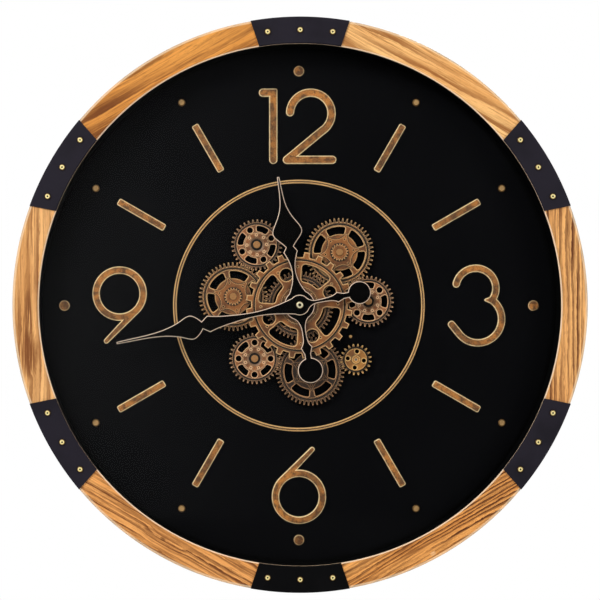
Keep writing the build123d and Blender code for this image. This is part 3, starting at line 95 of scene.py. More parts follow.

# Pane
PANE_CLEAR = (0.95, 0.955, 0.955, 1.0)  # what passes each of its faces
PANE_INDEX = 1.16                   # a low index, for a faint mirror
PANE_POLISH = 0.015

# Cells, in shares of their length
CELL_BAND = (0.695, 0.7)            # where the copper-coloured band begins
CELL_FOOT = (0.025, 0.02)           # where the bare end at the foot begins
CELL_HEAD = (0.955, 0.96)           # and the one at the head

# Grain of the rim, in metres
FINE_LINE = 1.7 * MM                # from one fine line to the next
FRAY = 1.7 * MM                     # how far the rings' edges stray over a short length
RIPPLE = 2.4 * MM                   # and over a longer one

# Rays for each point of a crevice and of an edge
CREVICE_SAMPLES = 8
EDGE_SAMPLES = 6


def colour(red, green, blue):
    """A colour given as it looks on a screen, 0 to 255, in linear light."""
    shares = [level / 255 for level in (red, green, blue)]
    light = [s / 12.92 if s <= 0.04045 else ((s + 0.055) / 1.055) ** 2.4 for s in shares]
    return (*light, 1.0)


class Value:
    """A socket that varies over a surface. Sums on it add the nodes that work them out."""

    def __init__(self, finish, socket):
        self.finish = finish
        self.socket = socket

    def maths(self, operation, *terms):
        return self.finish.node("ShaderNodeMath", {"operation": operation}, dict(enumerate(terms)))

    def __add__(self, other):
        return self.maths("ADD", self, other)

    def __radd__(self, other):
        return self.maths("ADD", other, self)

    def __sub__(self, other):
        return self.maths("SUBTRACT", self, other)

    def __rsub__(self, other):
        return self.maths("SUBTRACT", other, self)

    def __mul__(self, other):
        return self.maths("MULTIPLY", self, other)

    def __rmul__(self, other):
        return self.maths("MULTIPLY", other, self)

    def __abs__(self):
        return self.maths("ABSOLUTE", self)

    def __pow__(self, power):
        return self.maths("POWER", self, power)

    def __neg__(self):
        return self.maths("MULTIPLY", self, -1.0)

    def over(self, other):
        return self.maths("MAXIMUM", self, other)

    def fract(self):
        return self.maths("FRACT", self)

    def floor(self):
        return self.maths("FLOOR", self)

    def rise(self, low, high):
        """0 below low and 1 above high, with a soft step between. It falls where low is the higher."""
        ends = {"Value": self, "From Min": low, "From Max": high}
        return self.finish.node("ShaderNodeMapRange", {"interpolation_type": "SMOOTHSTEP"}, ends)


class Finish:
    """A material and its nodes. Patterns lie on Object coordinates, with their sizes in metres."""

    def __init__(self, name, plain):
        self.material = bpy.data.materials.new(name)
        self.material.use_nodes = True
        self.tree = self.material.node_tree
        self.surface = self.tree.nodes["Principled BSDF"]
        self.give(plain)

    def fill(self, node, sockets):
        """Set a node's sockets, each to a number or colour or linked to a value."""
        for key, value in sockets.items():
            if isinstance(value, Value):
                self.tree.links.new(value.socket, node.inputs[key])
            else:
                node.inputs[key].default_value = value

    def give(self, sockets):
        self.fill(self.surface, sockets)

    def node(self, kind, settings, sockets, output=0):
        """Add a node, with its settings first and then its sockets' numbers, colours or links."""
        made = self.tree.nodes.new(kind)
        for name, setting in settings.items():
            setattr(made, name, setting)
        self.fill(made, sockets)
        return Value(self, made.outputs[output])

    def mix(self, share, first, second):
        """The first colour where share is 0, and the second where it is 1."""
        return self.node("ShaderNodeMix", {"data_type": "RGBA"}, {0: share, 6: first, 7: second}, 2)

    def layers(self, shade, *coats):
        """Lay coats over a first colour, each by its share."""
        for share, tone in coats:
            shade = self.mix(share, shade, tone)
        return shade

    def place(self, size=(1.0, 1.0, 1.0), centre=(0.0, 0.0, 0.0), turn=0.0):
        """Object coordinates about a centre, turned about the line of sight, in units of size."""
        spot = self.node("ShaderNodeTexCoord", {}, {}, "Object")
        sockets = {"Vector": spot, "Location": centre, "Rotation": (0.0, -turn, 0.0), "Scale": size}
        return self.node("ShaderNodeMapping", {"vector_type": "TEXTURE"}, sockets)

    def split(self, vector):
        """A vector's three parts."""
        parts = self.node("ShaderNodeSeparateXYZ", {}, {"Vector": vector}).socket.node.outputs
        return [Value(self, part) for part in parts]

    def join(self, x, y, z):
        return self.node("ShaderNodeCombineXYZ", {}, {"X": x, "Y": y, "Z": z})

    def noise(self, place, detail, roughness=0.5):
        sockets = {"Vector": place, "Scale": 1.0, "Detail": detail, "Roughness": roughness}
        return self.node("ShaderNodeTexNoise", {}, sockets, "Fac")

    def speckle(self, size, detail, roughness=0.5):
        """Noise of one size in all directions."""
        return self.noise(self.place((size,) * 3), detail, roughness)

    def normal(self):
        return self.node("ShaderNodeNewGeometry", {}, {}, "Normal")

    def facing(self):
        """1 where a face looks straight out of the front, 0 on its sides."""
        return -self.split(self.normal())[1]

    def crevice(self, reach, alone=True):
        """1 deep in corners and grooves, 0 in the open. Other pieces count unless alone."""
        settings = {"samples": CREVICE_SAMPLES, "only_local": alone}
        return 1.0 - self.node("ShaderNodeAmbientOcclusion", settings, {"Distance": reach}, "AO")

    def edge(self, reach):
        """0 on flats and up to about 0.3 along sharp edges."""
        eased = self.node("ShaderNodeBevel", {"samples": EDGE_SAMPLES}, {"Radius": reach})
        likeness = {0: eased, 1: self.normal()}
        return 1.0 - self.node("ShaderNodeVectorMath", {"operation": "DOT_PRODUCT"}, likeness, "Value")

    def round_about(self, centre):
        """Distance from a centre, and the turn about it in radians."""
        x, _, z = self.split(self.place(centre=centre))
        return (x * x + z * z) ** 0.5, x.maths("ARCTAN2", z, x)

    def rays(self):
        """1 for rays that look straight at a surface or through glass, and 1 for those in a mirror."""
        path = self.node("ShaderNodeLightPath", {}, {}).socket.node.outputs
        seen = Value(self, path["Is Camera Ray"]).over(Value(self, path["Is Transmission Ray"]))
        return seen, Value(self, path["Is Glossy Ray"])

    def bump(self, height, depth):
        return self.node("ShaderNodeBump", {}, {"Height": height, "Distance": depth})


def dress(finish, *names):
    """Give these nodes one finish."""
    for name in names:
        nodes[name].data.materials.clear()
        nodes[name].data.materials.append(finish.material)


class Knot(NamedTuple):
    """A knot: its place on the clock's face, its size along and across the grain, how far it pushes
    the rings aside, and its colour."""
    angle: float
    radius: float
    length: float
    width: float
    push: float
    share: float
    tone: tuple


class Board(NamedTuple):
    """One rim board: its colours, the width, wander and depth of its rings, and its fine lines."""
    pale: tuple
    warm: tuple
    dark: tuple
    ring: float
    bend: float
    depth: float
    fine: float
    knots: tuple = ()


BOARDS = (
    Board(colour(246, 194, 126), colour(224, 162, 94), colour(140, 82, 33),
          ring=12.5 * MM, bend=1.4, depth=0.9, fine=0.4),
    Board(colour(235, 174, 106), colour(198, 131, 71), colour(92, 45, 15),
          ring=5.8 * MM, bend=1.8, depth=1.0, fine=0.65),
    Board(colour(242, 171, 94), colour(208, 133, 62), colour(84, 40, 11),
          ring=3.7 * MM, bend=2.0, depth=1.0, fine=0.7, knots=(
              Knot(-61.9, 0.294, 4 * MM, 2.5 * MM, push=0.4, share=0.8, tone=colour(236, 196, 150)),)),
    Board(colour(242, 171, 98), colour(206, 136, 68), colour(100, 51, 18),
          ring=4.4 * MM, bend=2.0, depth=0.95, fine=0.65, knots=(
              Knot(-120.1, 0.284, 30 * MM, 11 * MM, push=0.7, share=0.5, tone=colour(140, 84, 40)),
              Knot(-120.4, 0.283, 4 * MM, 2.5 * MM, push=0.0, share=0.9, tone=colour(80, 42, 16)))),
    Board(colour(236, 180, 116), colour(206, 146, 84), colour(118, 66, 27),
          ring=9.5 * MM, bend=1.6, depth=0.8, fine=0.4, knots=(
              Knot(190.3, 0.288, 30 * MM, 13 * MM, push=0.5, share=1.0, tone=colour(122, 70, 32)),
              Knot(183.0, 0.284, 36 * MM, 6 * MM, push=0.2, share=1.0, tone=colour(116, 66, 30)))),
    Board(colour(224, 153, 72), colour(196, 126, 54), colour(106, 55, 16),
          ring=16.0 * MM, bend=1.5, depth=1.0, fine=0.5),
)


def knot_spot(finish, knot, turn):
    """1 at the middle of a knot, falling to 0 at its outline."""
    angle = radians(knot.angle)
    middle = HAND_AXIS + Vector((cos(angle), 0.0, sin(angle))) * knot.radius
    x, _, z = finish.split(finish.place((knot.length, 1.0, knot.width), middle, turn))
    return (x * x + z * z).rise(1.0, 0.0)


def rim_highlights_and_dark_wall(finish):
    """Coats for the rim: painted highlights along its bevelled lip and rounded front edge, and
    near-black on its wall above the glass.
    """
    radius, _ = finish.round_about(HAND_AXIS)
    facing = finish.facing()
    # painted highlight along the lip's bevel
    lip = radius.rise(LIP_EDGE + 0.3 * MM, LIP_EDGE - 0.3 * MM) * facing.rise(0.97, 0.8)
    # painted highlight along the rounded front edge
    edge = radius.rise(RIM_EDGE - 0.6 * MM, RIM_EDGE + 0.8 * MM) * facing.rise(0.2, 0.6)
    # near-black on the wall where the lip drops to the glass
    darkening = radius.rise(LIP_WALL + 0.3 * MM, LIP_WALL) * facing.rise(0.45, 0.25)
    return ((lip * 0.8, colour(246, 218, 184)), (edge * 0.5, colour(248, 222, 184)),
            (darkening, colour(12, 10, 9)))


def wood(number, board):
    """Oiled wood. Its rings run along the board's chord and swell round its knots."""
    finish = Finish(f"rim_wood_{number}", {"Specular IOR Level": 0.15, "Coat Roughness": 0.35})
    turn = radians(GRAIN_TURN - BOARD_SPREAD * (number - 1))
    start = HAND_AXIS + Vector((0.0, PATTERN_STEP * number, 0.0))

    def grain(length, width):
        return finish.place((length, width, width), start, turn)

    along, deep, across = finish.split(grain(1.0, board.ring))
    wander = finish.noise(grain(130 * MM, 28 * MM), 2.0) * board.bend
    crowd = finish.noise(grain(500 * MM, 2.5 * board.ring), 1.0) * 1.6
    ripple = finish.noise(grain(20 * MM, 4 * MM), 2.0) * (RIPPLE / board.ring)
    fray = finish.noise(grain(6 * MM, 1.2 * MM), 2.0) * (FRAY / board.ring)
    rings = across + deep * 0.5 + wander + crowd + ripple + fray
    spots = [knot_spot(finish, knot, turn) for knot in board.knots]
    for knot, spot in zip(board.knots, spots):
        rings = rings + spot * knot.push
    cycle = rings.fract()
    late = cycle.rise(0.2, 0.85) * cycle.rise(1.0, 0.93)
    own = finish.noise(finish.join(along * 6.0, 0.0, rings.floor() * 3.7), 1.0).rise(0.25, 0.6)
    fine = finish.join(along * 5.0, 0.0, rings * (board.ring / FINE_LINE))
    lines = finish.noise(fine, 3.0, 0.6).rise(0.46, 0.68)
    tone = finish.noise(grain(200 * MM, 34 * MM), 2.0).rise(0.3, 0.7)
    streak = finish.noise(grain(45 * MM, 1.5 * MM), 3.0, 0.6)
    pores = finish.noise(grain(9 * MM, 1.1 * MM), 2.0).rise(0.56, 0.74)

    shade = finish.layers(
        board.pale,
        (tone, board.warm),
        (late * own * board.depth, board.dark),
        (lines * board.fine, board.dark),
        (streak.rise(0.5, 0.7) * 0.6, board.dark),
        (streak.rise(0.48, 0.28) * 0.6, board.pale),
        (pores * 0.3, board.dark),
        *((spot * streak.rise(0.3, 0.6) * knot.share, knot.tone)
          for knot, spot in zip(board.knots, spots)),
        # painted highlights on the lip and front edge, and the near-black wall above the glass
        *rim_highlights_and_dark_wall(finish))
    height = streak * 0.5 - pores - late * 0.4
    finish.give({"Base Color": shade, "Roughness": 0.42 + late * 0.1 + pores * 0.12,
                 "Coat Weight": 0.06 - pores * 0.05, "Normal": finish.bump(height, 0.08 * MM)})
    return finish


def strap_paint(name, tone, glint):
    """Dark powder coat with paler glints, and painted shadow round the studs."""
    finish = Finish(name, {"Specular IOR Level": 0.08})
    speck = finish.speckle(0.9 * MM, 2.0)
    cloud = finish.speckle(45 * MM, 3.0)
    shade = finish.layers(
        tone,
        (speck.rise(0.55, 0.75) * 0.35, glint),
        (cloud.rise(0.45, 0.7) * 0.35, colour(12, 11, 13)),
        # painted shadow round the studs and other pieces standing on the plate
        (finish.crevice(4 * MM, False).rise(0.06, 0.4), colour(5, 4, 5)))
    finish.give({"Base Color": shade, "Roughness": 0.5 + speck * 0.15,
                 "Normal": finish.bump(speck, 0.05 * MM)})
    return finish


def brass(name, tone, dull, polish):
    """Cast brass, bright on its face, browned at its rim by painted shade, and dark in its corners."""
    finish = Finish(name, {"Metallic": 0.4})
    fleck = finish.speckle(2.2 * MM, 3.0)
    tarnish = finish.crevice(1.6 * MM).rise(0.12, 0.4)
    # painted shade: the rim darkens where the face turns away from the front
    rim = finish.facing().rise(0.97, 0.75)
    shade = finish.layers(
        tone,
        (fleck.rise(0.45, 0.75) * 0.5, dull),
        (rim * 0.85, colour(104, 70, 26)),
        (tarnish, colour(36, 22, 8)))
    finish.give({"Base Color": shade, "Roughness": polish + tarnish * 0.3 + fleck * 0.1})
    return finish


def stud_brass():
    """Domed brass studs: bright at the crown as a painted highlight, browned at the rim by painted
    shade, dark in the dimple.
    """
    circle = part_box("strap_studs")[1].z - HAND_AXIS.z - STUD_HEAD
    finish = Finish("stud_brass", {"Metallic": 0.3})
    fleck = finish.speckle(2.2 * MM, 3.0)
    radius, turn = finish.round_about(HAND_AXIS)
    plate = (turn * (1 / radians(BOARD_SPREAD))).fract() - 0.5
    stud = (plate * (BOARD_SPREAD / STUD_SPREAD) + 0.5).fract() - 0.5
    along = stud * radius * radians(STUD_SPREAD)
    out = radius - circle
    reach = (along * along + out * out) ** 0.5
    shade = finish.layers(
        # the crown's near-white brass is a painted highlight
        colour(255, 238, 168),
        (fleck.rise(0.45, 0.75) * 0.5, colour(230, 186, 88)),
        # painted shade on the dome's rim
        (reach.rise(*STUD_RIM), colour(96, 66, 18)),
        (reach.rise(*STUD_DIMPLE), colour(34, 21, 6)))
    finish.give({"Base Color": shade, "Roughness": 0.22 + fleck * 0.12})
    return finish


def window_glass():
    """Clear pane: what lies behind shows through, with a faint mirror where light comes in."""
    finish = Finish("window_glass", {})
    clear = finish.node("ShaderNodeBsdfTransparent", {}, {"Color": PANE_CLEAR})
    mirror = finish.node("ShaderNodeBsdfGlossy", {}, {"Color": WHITE, "Roughness": PANE_POLISH})
    inside = finish.node("ShaderNodeNewGeometry", {}, {}, "Backfacing")
    share = finish.node("ShaderNodeFresnel", {}, {"IOR": PANE_INDEX}) * (1.0 - inside)
    pane = finish.node("ShaderNodeMixShader", {}, {0: share, 1: clear, 2: mirror})
    finish.fill(finish.tree.nodes["Material Output"], {"Surface": pane})
    return finish


def black_lacquer(name, tone, dull):
    """Matt black lacquer on sheet, clouded a little, with painted shadow where something stands on it.
    """
    finish = Finish(name, {"Specular IOR Level": 0.03})
    cloud = finish.noise(finish.place((140 * MM,) * 3, HAND_AXIS), 3.0, 0.55)
    speck = finish.speckle(1.1 * MM, 2.0)
    shade = finish.layers(
        tone,
        (cloud.rise(0.3, 0.7), dull),
        # painted shadow round the pieces that stand on the sheet
        (finish.crevice(6 * MM, False).rise(0.04, 0.3), colour(2, 2, 2)))
    finish.give({"Base Color": shade, "Roughness": 0.5 + speck * 0.1,
                 "Normal": finish.bump(speck, 0.01 * MM)})
    return finish


def mark_bronze(name, rub_highlight_share):
    """Antique bronze on the numerals and marks, mottled, bevels worn pale by rubbing and painted as a
    highlight.
    """
    finish = Finish(name, {"Metallic": 0.15})
    cloud = finish.speckle(38 * MM, 2.0)
    mottle = finish.speckle(7 * MM, 4.0, 0.6)
    grit = finish.speckle(1.6 * MM, 3.0)
    # pale bevels: partly worn by rubbing, partly a painted highlight
    rubbed_highlight = finish.facing().rise(0.96, 0.8) * (1.0 - mottle.rise(0.45, 0.7) * 0.4)
    shade = finish.layers(
        colour(204, 130, 56),
        (cloud.rise(0.35, 0.65), colour(146, 94, 44)),
        (mottle.rise(0.42, 0.64) * 0.85, colour(74, 43, 18)),
        (grit.rise(0.5, 0.72) * 0.6, colour(56, 33, 15)),
        (grit.rise(0.45, 0.25) * 0.55, colour(226, 168, 102)),
        (rubbed_highlight * rub_highlight_share, colour(255, 226, 172)))
    finish.give({"Base Color": shade, "Roughness": 0.36 + mottle * 0.2,
                 "Normal": finish.bump(grit, 0.05 * MM)})
    return finish


class Bronze(NamedTuple):
    """A wheel's bronze: its bright and dull flats, and its edges, worn pale and painted as a
    highlight.
    """
    tone: tuple
    dull: tuple
    rubbed_highlight: tuple


class Wheel(NamedTuple):
    """Radii of a wheel: its turned groove, how far painted shade spreads from it, the root and tip of
    its fine teeth, and its star plate and toothed boss, where it has them. A wheel with pads has a
    dished hub and a well, darkened by painted shade. A root of a metre stands for no fine teeth."""
    groove: float
    groove_shade: float = 1.4 * MM
    root: float = 1.0
    tip: float = 1.1
    star: float = 0.0
    boss: float = 0.0
    pads: bool = False


GOLD = Bronze(colour(162, 99, 44), colour(102, 59, 25), colour(255, 206, 144))
# a darker copy of the gold, as painted shade on the sun wheel behind the front gear and on the bottom
# wheel
SHADED_GOLD = Bronze(colour(70, 43, 21), colour(36, 21, 10), colour(228, 172, 120))
RED_GOLD = Bronze(colour(168, 102, 52), colour(108, 63, 30), colour(255, 206, 156))
YELLOW = Bronze(colour(188, 126, 54), colour(122, 76, 32), colour(255, 206, 132))
RING_GOLD = Bronze(colour(182, 122, 60), colour(134, 84, 38), colour(255, 208, 142))

# Darker colours for the wheels: brown toward the tooth roots, and painted shade for cast shadow,
# sideways walls, grooves, gaps, the hub's dish and its well
ROOT_BROWN = colour(48, 29, 14)
SHADOW_BROWN = colour(26, 14, 6)
WALL_BROWN = colour(20, 11, 5)
GROOVE_BLACK = colour(12, 6, 3)
PAINTED_SHADE_BLACK = colour(16, 9, 4)
DISH_BROWN = colour(58, 34, 18)
WELL_BLACK = colour(14, 8, 4)

RING = Wheel(131.1 * MM, 0.6 * MM)
FRONT_WHEEL = Wheel(47.5 * MM)
SUN_WHEEL = Wheel(29.6 * MM, root=32.2 * MM, tip=36.3 * MM)
LARGE_WHEEL = SUN_WHEEL._replace(star=20.8 * MM, boss=9.8 * MM)
SMALL_WHEEL = Wheel(22.0 * MM, root=23.6 * MM, tip=26.9 * MM, pads=True)
DRIVE_WHEEL = Wheel(12.4 * MM, root=12.8 * MM, tip=15.4 * MM)

WHEELS = (
    ("gear_surround", "centre_spin", RING_GOLD, RING),
    ("front_gear", "centre_spin", GOLD, FRONT_WHEEL),
    ("sun_gear", "centre_spin", SHADED_GOLD, SUN_WHEEL),
    ("gear_left", "left_spin", GOLD, LARGE_WHEEL),
    ("gear_upper_right", "upper_right_spin", GOLD, LARGE_WHEEL),
    ("gear_bottom", "bottom_spin", SHADED_GOLD, LARGE_WHEEL),
    ("gear_upper_left", "upper_left_spin", RED_GOLD, SMALL_WHEEL),
    ("gear_right", "right_spin", RED_GOLD, SMALL_WHEEL),
    ("gear_lower_left", "lower_left_spin", RED_GOLD, SMALL_WHEEL),
    ("drive_pinion", "drive_spin", YELLOW, DRIVE_WHEEL),
)


def gear_bronze(node, centre, bronze, wheel):
    """Cast gear bronze: turned lines about the wheel's centre, darker toward its tooth roots, painted
    shade in its groove, gaps, walls and hub, painted shadow from other pieces, and edges worn pale and
    painted as highlights."""
    finish = Finish(f"{node}_bronze", {"Metallic": 0.12})
    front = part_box(node)[0].y
    depth = finish.split(finish.place())[1]
    radius, turn = finish.round_about(centre)
    turned = finish.noise(finish.join(radius * (1 / (0.7 * MM)), turn * 1.5, 0.0), 2.0)
    cloud = finish.speckle(16 * MM, 2.0)
    mottle = finish.speckle(3 * MM, 3.0, 0.6)
    # painted shade in grooves and hollows, and painted shadow cast by other pieces
    groove = finish.crevice(3 * MM).rise(0.07, 0.32)
    shadow = finish.crevice(12 * MM, False).rise(0.16, 0.6)
    facing = finish.facing()
    # painted shade on walls that face sideways
    wall = facing.rise(0.45, 0.15)
    tooth = radius.rise(wheel.root - 0.6 * MM, wheel.root + 0.4 * MM)
    tip = radius.rise(wheel.root + 0.8 * MM, wheel.tip)
    # painted shade in a band round the turned groove
    groove_shade = abs(radius - (wheel.groove + 0.3 * MM)).rise(wheel.groove_shade, wheel.groove_shade * 0.5)
    # pale chamfers and edges: partly worn by rubbing, partly a painted highlight
    chamfer = facing.rise(0.96, 0.85) * facing.rise(0.4, 0.6)
    rubbed_highlight = finish.edge(2.4 * MM).rise(0.02, 0.13) * facing.rise(0.3, 0.6)
    rubbed_highlight = rubbed_highlight.over(chamfer * 0.8) * (1.0 - groove)
    boss_gaps = ()
    if wheel.boss:
        # painted shade in the gaps of the toothed boss
        gap = radius.rise(wheel.boss, wheel.boss - 0.6 * MM)
        gap = gap * depth.rise(front + 0.4 * MM, front + 0.8 * MM)
        rubbed_highlight = rubbed_highlight * (0.6 + radius.rise(wheel.star, wheel.star + 0.4 * MM) * 0.4)
        boss_gaps = ((gap, PAINTED_SHADE_BLACK),)
    hub = ()
    if wheel.pads:
        pad = depth.rise(front + 0.3 * MM, front + 0.1 * MM)
        # painted shade in the hub's dish and well; the pads are worn pale by rubbing
        hub = ((radius.rise(*DISH) * 0.65, DISH_BROWN), (radius.rise(*WELL), WELL_BLACK),
               (pad * 0.52, bronze.rubbed_highlight))
    shade = finish.layers(
        bronze.tone,
        (cloud.rise(0.35, 0.65), bronze.dull),
        (mottle.rise(0.45, 0.7) * 0.35, bronze.dull),
        (turned.rise(0.5, 0.7) * 0.3, bronze.dull),
        (tooth * (0.8 - tip * 0.6), ROOT_BROWN),
        (shadow * 0.85, SHADOW_BROWN),
        (groove, GROOVE_BLACK),
        (wall * 0.9, WALL_BROWN),
        *boss_gaps,
        (rubbed_highlight * (0.88 - tooth * 0.6 + tip * 0.35), bronze.rubbed_highlight),
        (groove_shade * 0.9, PAINTED_SHADE_BLACK),
        *hub)
    finish.give({"Base Color": shade, "Roughness": 0.38 + mottle * 0.2 + groove * 0.2,
                 "Normal": finish.bump(turned, 0.02 * MM)})
    return finish


def hand_black():
    """Matt black hands with a bare, pale coppery edge, painted bright as its highlight."""
    finish = Finish("hand_black", {"Specular IOR Level": 0.03})
    speck = finish.speckle(1.2 * MM, 2.0)
    # pale edge: bare metal, painted bright as a highlight
    edge = finish.facing().rise(0.97, 0.85)
    shade = finish.layers(colour(3, 3, 3), (speck, colour(6, 5, 5)), (edge, colour(248, 220, 196)))
    finish.give({"Base Color": shade, "Roughness": 0.5 + speck * 0.15 - edge * 0.15,
                 "Metallic": edge * 0.2, "Normal": finish.bump(speck, 0.02 * MM)})
    return finish


def steel(name, tone, dull, polish):
    """Plated steel, faintly streaked."""
    finish = Finish(name, {"Metallic": 0.9})
    streak = finish.noise(finish.place((8 * MM, 2 * MM, 0.6 * MM)), 3.0)
    darkening = finish.speckle(6 * MM, 3.0)
    shade = finish.mix(darkening.rise(0.35, 0.7), tone, dull)
    finish.give({"Base Color": shade, "Roughness": polish + streak * 0.18,
                 "Normal": finish.bump(streak, 0.02 * MM)})
    return finish


def moulding(name, tone, dull, gloss):
    """Moulded plastic with a fine spark-eroded grain."""
    finish = Finish(name, {"Specular IOR Level": 0.45})
    grain = finish.speckle(0.6 * MM, 3.0)
    flow = finish.speckle(18 * MM, 2.0)
    shade = finish.mix(flow.rise(0.3, 0.7), tone, dull)
    finish.give({"Base Color": shade, "Roughness": gloss + grain * 0.2,
                 "Normal": finish.bump(grain, 0.05 * MM)})
    return finish


def back_paint():
    """Black stained fibreboard."""
    finish = Finish("back_paint", {"Specular IOR Level": 0.25})
    fibre = finish.noise(finish.place((7 * MM, 7 * MM, 0.7 * MM), turn=radians(35)), 3.0)
    strand = finish.noise(finish.place((0.6 * MM, 7 * MM, 6 * MM), turn=radians(-10)), 3.0)
    cloud = finish.speckle(60 * MM, 3.0)
    shade = finish.layers(
        colour(34, 31, 29),
        (cloud, colour(26, 24, 23)),
        (fibre.rise(0.56, 0.72) * 0.5, colour(58, 50, 43)),
        (strand.rise(0.58, 0.74) * 0.5, colour(50, 44, 38)))
    finish.give({"Base Color": shade, "Roughness": 0.72 + fibre * 0.15,
                 "Normal": finish.bump(fibre + strand, 0.08 * MM)})
    return finish


def cell_wrap(name, node):
    """Plain dry cell: dark sleeve with a copper-coloured band at one end and bare steel ends."""
    low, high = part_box(node)
    finish = Finish(name, {})
    x = finish.split(finish.place(centre=(low.x, 0.0, 0.0), size=(high.x - low.x, 1.0, 1.0)))[0]
    scuff = finish.speckle(3 * MM, 3.0)
    band = x.rise(*CELL_BAND)
    bare = x.rise(*CELL_FOOT).over(x.rise(*CELL_HEAD))
    shade = finish.layers(
        colour(30, 30, 33),
        (band, colour(176, 112, 60)),
        (scuff.rise(0.55, 0.75) * 0.2, colour(90, 88, 86)),
        (bare, colour(186, 186, 188)))
    finish.give({"Base Color": shade, "Roughness": 0.28 + scuff * 0.15, "Metallic": bare * 0.9})
    return finish


def finish_rim():
    for number, board in enumerate(BOARDS, 1):
        dress(wood(number, board), f"wood_segment_{number}")
    dress(strap_paint("strap_paint", colour(32, 29, 37), colour(48, 44, 56)),
          *(f"strap_plate_{number}" for number in (1, 2, 3, 5, 6)))
    # the foot plate takes a near-black copy of the strap paint as painted shade
    dress(strap_paint("foot_strap_painted_shade", colour(3, 3, 4), colour(12, 11, 13)), "strap_plate_4")
    dress(stud_brass(), "strap_studs")


def finish_dial():
    dress(window_glass(), "glass_pane")
    dress(black_lacquer("dial_black", colour(9, 9, 11), colour(7, 7, 9)), "dial_panel")
    dress(black_lacquer("liner_black", colour(10, 10, 11), colour(7, 7, 8)), "inner_liner")
    dress(black_lacquer("spacer_black", colour(30, 29, 29), colour(24, 23, 23)), "rear_spacer")
    dress(mark_bronze("mark_bronze", 1.0), "numeral_12", "numeral_3", "numeral_6", "numeral_9",
          "hour_batons")
    dress(mark_bronze("dot_bronze", 0.45), "quarter_dots")
    dress(brass("dot_brass", colour(206, 164, 108), colour(146, 106, 62), 0.3), "hour_dots")
    dress(brass("pin_brass", colour(214, 166, 104), colour(176, 128, 74), 0.3), "dial_pin")


def finish_wheels():
    for node, joint, bronze, wheel in WHEELS:
        dress(gear_bronze(node, joint_places[joint], bronze, wheel), node)
    dress(steel("post_steel", colour(150, 140, 126), colour(112, 100, 86), 0.3), "gear_posts",
          "motor_shaft")
    dress(brass("cap_brass", colour(184, 132, 80), colour(132, 88, 50), 0.3), "post_caps")
    dress(hand_black(), "hour_hand", "minute_hand")
    # the nut's near-white tone is pale brass painted bright as its highlight
    dress(brass("nut_brass", colour(255, 242, 202), colour(249, 226, 164), 0.2), "hand_nut")
    dress(steel("arbor_steel", colour(62, 54, 44), colour(40, 34, 28), 0.35), "minute_arbor")
    dress(brass("sleeve_brass", colour(196, 150, 88), colour(150, 108, 60), 0.3), "centre_sleeve",
          "fixing_nut")


def finish_back():
    dress(back_paint(), "back_board")
    dress(moulding("case_plastic", colour(30, 30, 32), colour(25, 25, 27), 0.42), "movement_case",
          "cell_holder")
    dress(moulding("cover_plastic", colour(38, 38, 40), colour(32, 32, 34), 0.36), "movement_cover")
    dress(moulding("motor_plastic", colour(44, 44, 46), colour(36, 36, 38), 0.4), "motor_case")
    dress(moulding("wheel_plastic", colour(232, 230, 224), colour(216, 214, 208), 0.38), "hour_wheel",
          "motion_wheel", "setting_knob")
    dress(cell_wrap("movement_cell_wrap", "movement_cell"), "movement_cell")
    dress(cell_wrap("holder_cell_wrap", "holder_cells"), "holder_cells")
    dress(steel("zinc_plate", colour(168, 170, 174), colour(152, 154, 158), 0.36), "hanger_plate",
          "cell_contacts", "motor_can")
    dress(steel("screw_zinc", colour(202, 186, 140), colour(160, 144, 100), 0.3), "board_screws",
          "small_screws")


def floor():
    """Pale studio floor below the clock, reaching forward past the camera and fading into white."""
    level = BOTTOM - FLOOR_DROP
    mesh = bpy.data.meshes.new("studio_floor")
    shape = bmesh.new()
    corners = [shape.verts.new((x, y, level)) for x, y in (
        (-FLOOR_SIDE, FLOOR_FRONT), (FLOOR_SIDE, FLOOR_FRONT), (FLOOR_SIDE, FLOOR_BACK),
        (-FLOOR_SIDE, FLOOR_BACK))]
    shape.faces.new(corners)
    shape.to_mesh(mesh)
    shape.free()
    piece = bpy.data.objects.new("studio_floor", mesh)
    bpy.context.scene.collection.objects.link(piece)
    finish = Finish("floor_paint", {"Specular IOR Level": 0.1})
    cloud = finish.speckle(0.5, 3.0)
    finish.give({"Base Color": finish.mix(cloud, colour(236, 236, 236), colour(228, 228, 228)),
                 "Roughness": 0.75 + cloud * 0.1})
    x, y, _ = finish.split(finish.place())
    seen, mirror = finish.rays()
    behind = y.rise(*BEHIND)
    white = ((x * x + y * y) ** 0.5).rise(FADE_NEAR, FADE_FAR) * seen.over(mirror * behind)
    surface = Value(finish, finish.surface.outputs[0])
    # for mirror rays from in front the floor glows faintly: a painted reflection of a lit floor in the
    # glass
    for share, strength in ((white, 1.0), (mirror * (1.0 - behind), ROOM_FLOOR)):
        glow = finish.node("ShaderNodeEmission", {}, {"Color": WHITE, "Strength": strength})
        surface = finish.node("ShaderNodeMixShader", {}, {0: share, 1: surface, 2: glow})
    finish.fill(finish.tree.nodes["Material Output"], {"Surface": surface})
    mesh.materials.append(finish.material)


class Lamp(NamedTuple):
    """A soft round lamp: its name, its place from the hand axis, its power and its width."""
    name: str
    place: tuple
    watts: float
    width: float


LAMPS = (
    Lamp("key_lamp", (-1.5, -2.1, 1.5), 60.0, 1.3),
    Lamp("fill_lamp", (1.9, -1.9, 0.5), 22.0, 1.2),
    Lamp("back_lamp", (0.6, 2.6, 1.2), 60.0, 1.4),
)


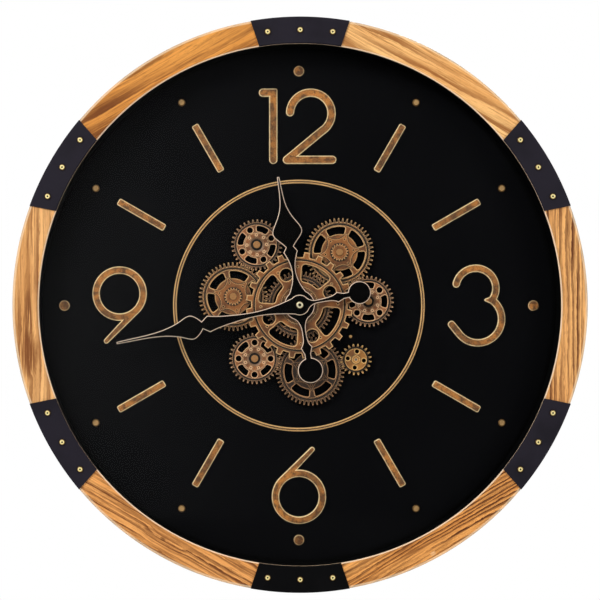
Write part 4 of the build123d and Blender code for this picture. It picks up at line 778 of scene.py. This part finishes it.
def hang(lamp):
    """Hang a lamp, turned towards the hand axis."""
    light = bpy.data.lights.new(lamp.name, "AREA")
    light.energy = lamp.watts
    light.shape = "DISK"
    light.size = lamp.width
    piece = bpy.data.objects.new(lamp.name, light)
    bpy.context.scene.collection.objects.link(piece)
    piece.location = HAND_AXIS + Vector(lamp.place)
    piece.rotation_euler = (HAND_AXIS - piece.location).to_track_quat("-Z", "Y").to_euler()


class Room(Finish):
    """The world's own nodes."""

    def __init__(self, world):
        self.tree = world.node_tree
        self.surface = self.tree.nodes["Background"]

    def light(self):
        """White where the camera looks past the clock and in mirrors that face that way, dim in
        front, with an even glow for everything else."""
        seen, mirror = self.rays()
        x, y, _ = self.split(self.node("ShaderNodeTexCoord", {}, {}, "Generated"))
        behind = y.rise(*BEHIND)
        white = seen.over(mirror * behind)
        room = (ROOM_LEFT - ROOM_DARK) * x.rise(*LEFT_SIDE) + ROOM_DARK
        front = mirror * (1.0 - behind)
        self.give({"Color": WHITE,
                   "Strength": AMBIENT + (1.0 - AMBIENT) * white + (room - AMBIENT) * front})


def studio():
    """White background, an even glow from all round and soft lamps."""
    world = bpy.data.worlds.new("studio")
    bpy.context.scene.world = world
    world.use_nodes = True
    Room(world).light()
    for lamp in LAMPS:
        hang(lamp)


def camera():
    """Level camera, shifted so that the hand axis falls where it does in the picture."""
    lens = bpy.data.cameras.new("camera")
    eye = bpy.data.objects.new("camera", lens)
    bpy.context.scene.collection.objects.link(eye)
    bpy.context.scene.camera = eye
    width = PHOTO_PIXELS * PIXEL_SIZE
    eye.location = (HAND_AXIS.x + EYE_SIDE, FRONT - EYE_DISTANCE, HAND_AXIS.z + EYE_RISE)
    eye.rotation_euler = (radians(90), 0.0, 0.0)
    lens.sensor_width = SENSOR
    lens.lens = SENSOR * EYE_DISTANCE / width
    lens.shift_x = -EYE_SIDE / width - (AXIS_PIXEL[0] / PHOTO_PIXELS - 0.5)
    lens.shift_y = -EYE_RISE / width + (AXIS_PIXEL[1] / PHOTO_PIXELS - 0.5)


finish_rim()
finish_dial()
finish_wheels()
finish_back()
floor()
studio()
camera()
bpy.context.scene.view_settings.view_transform = "Standard"
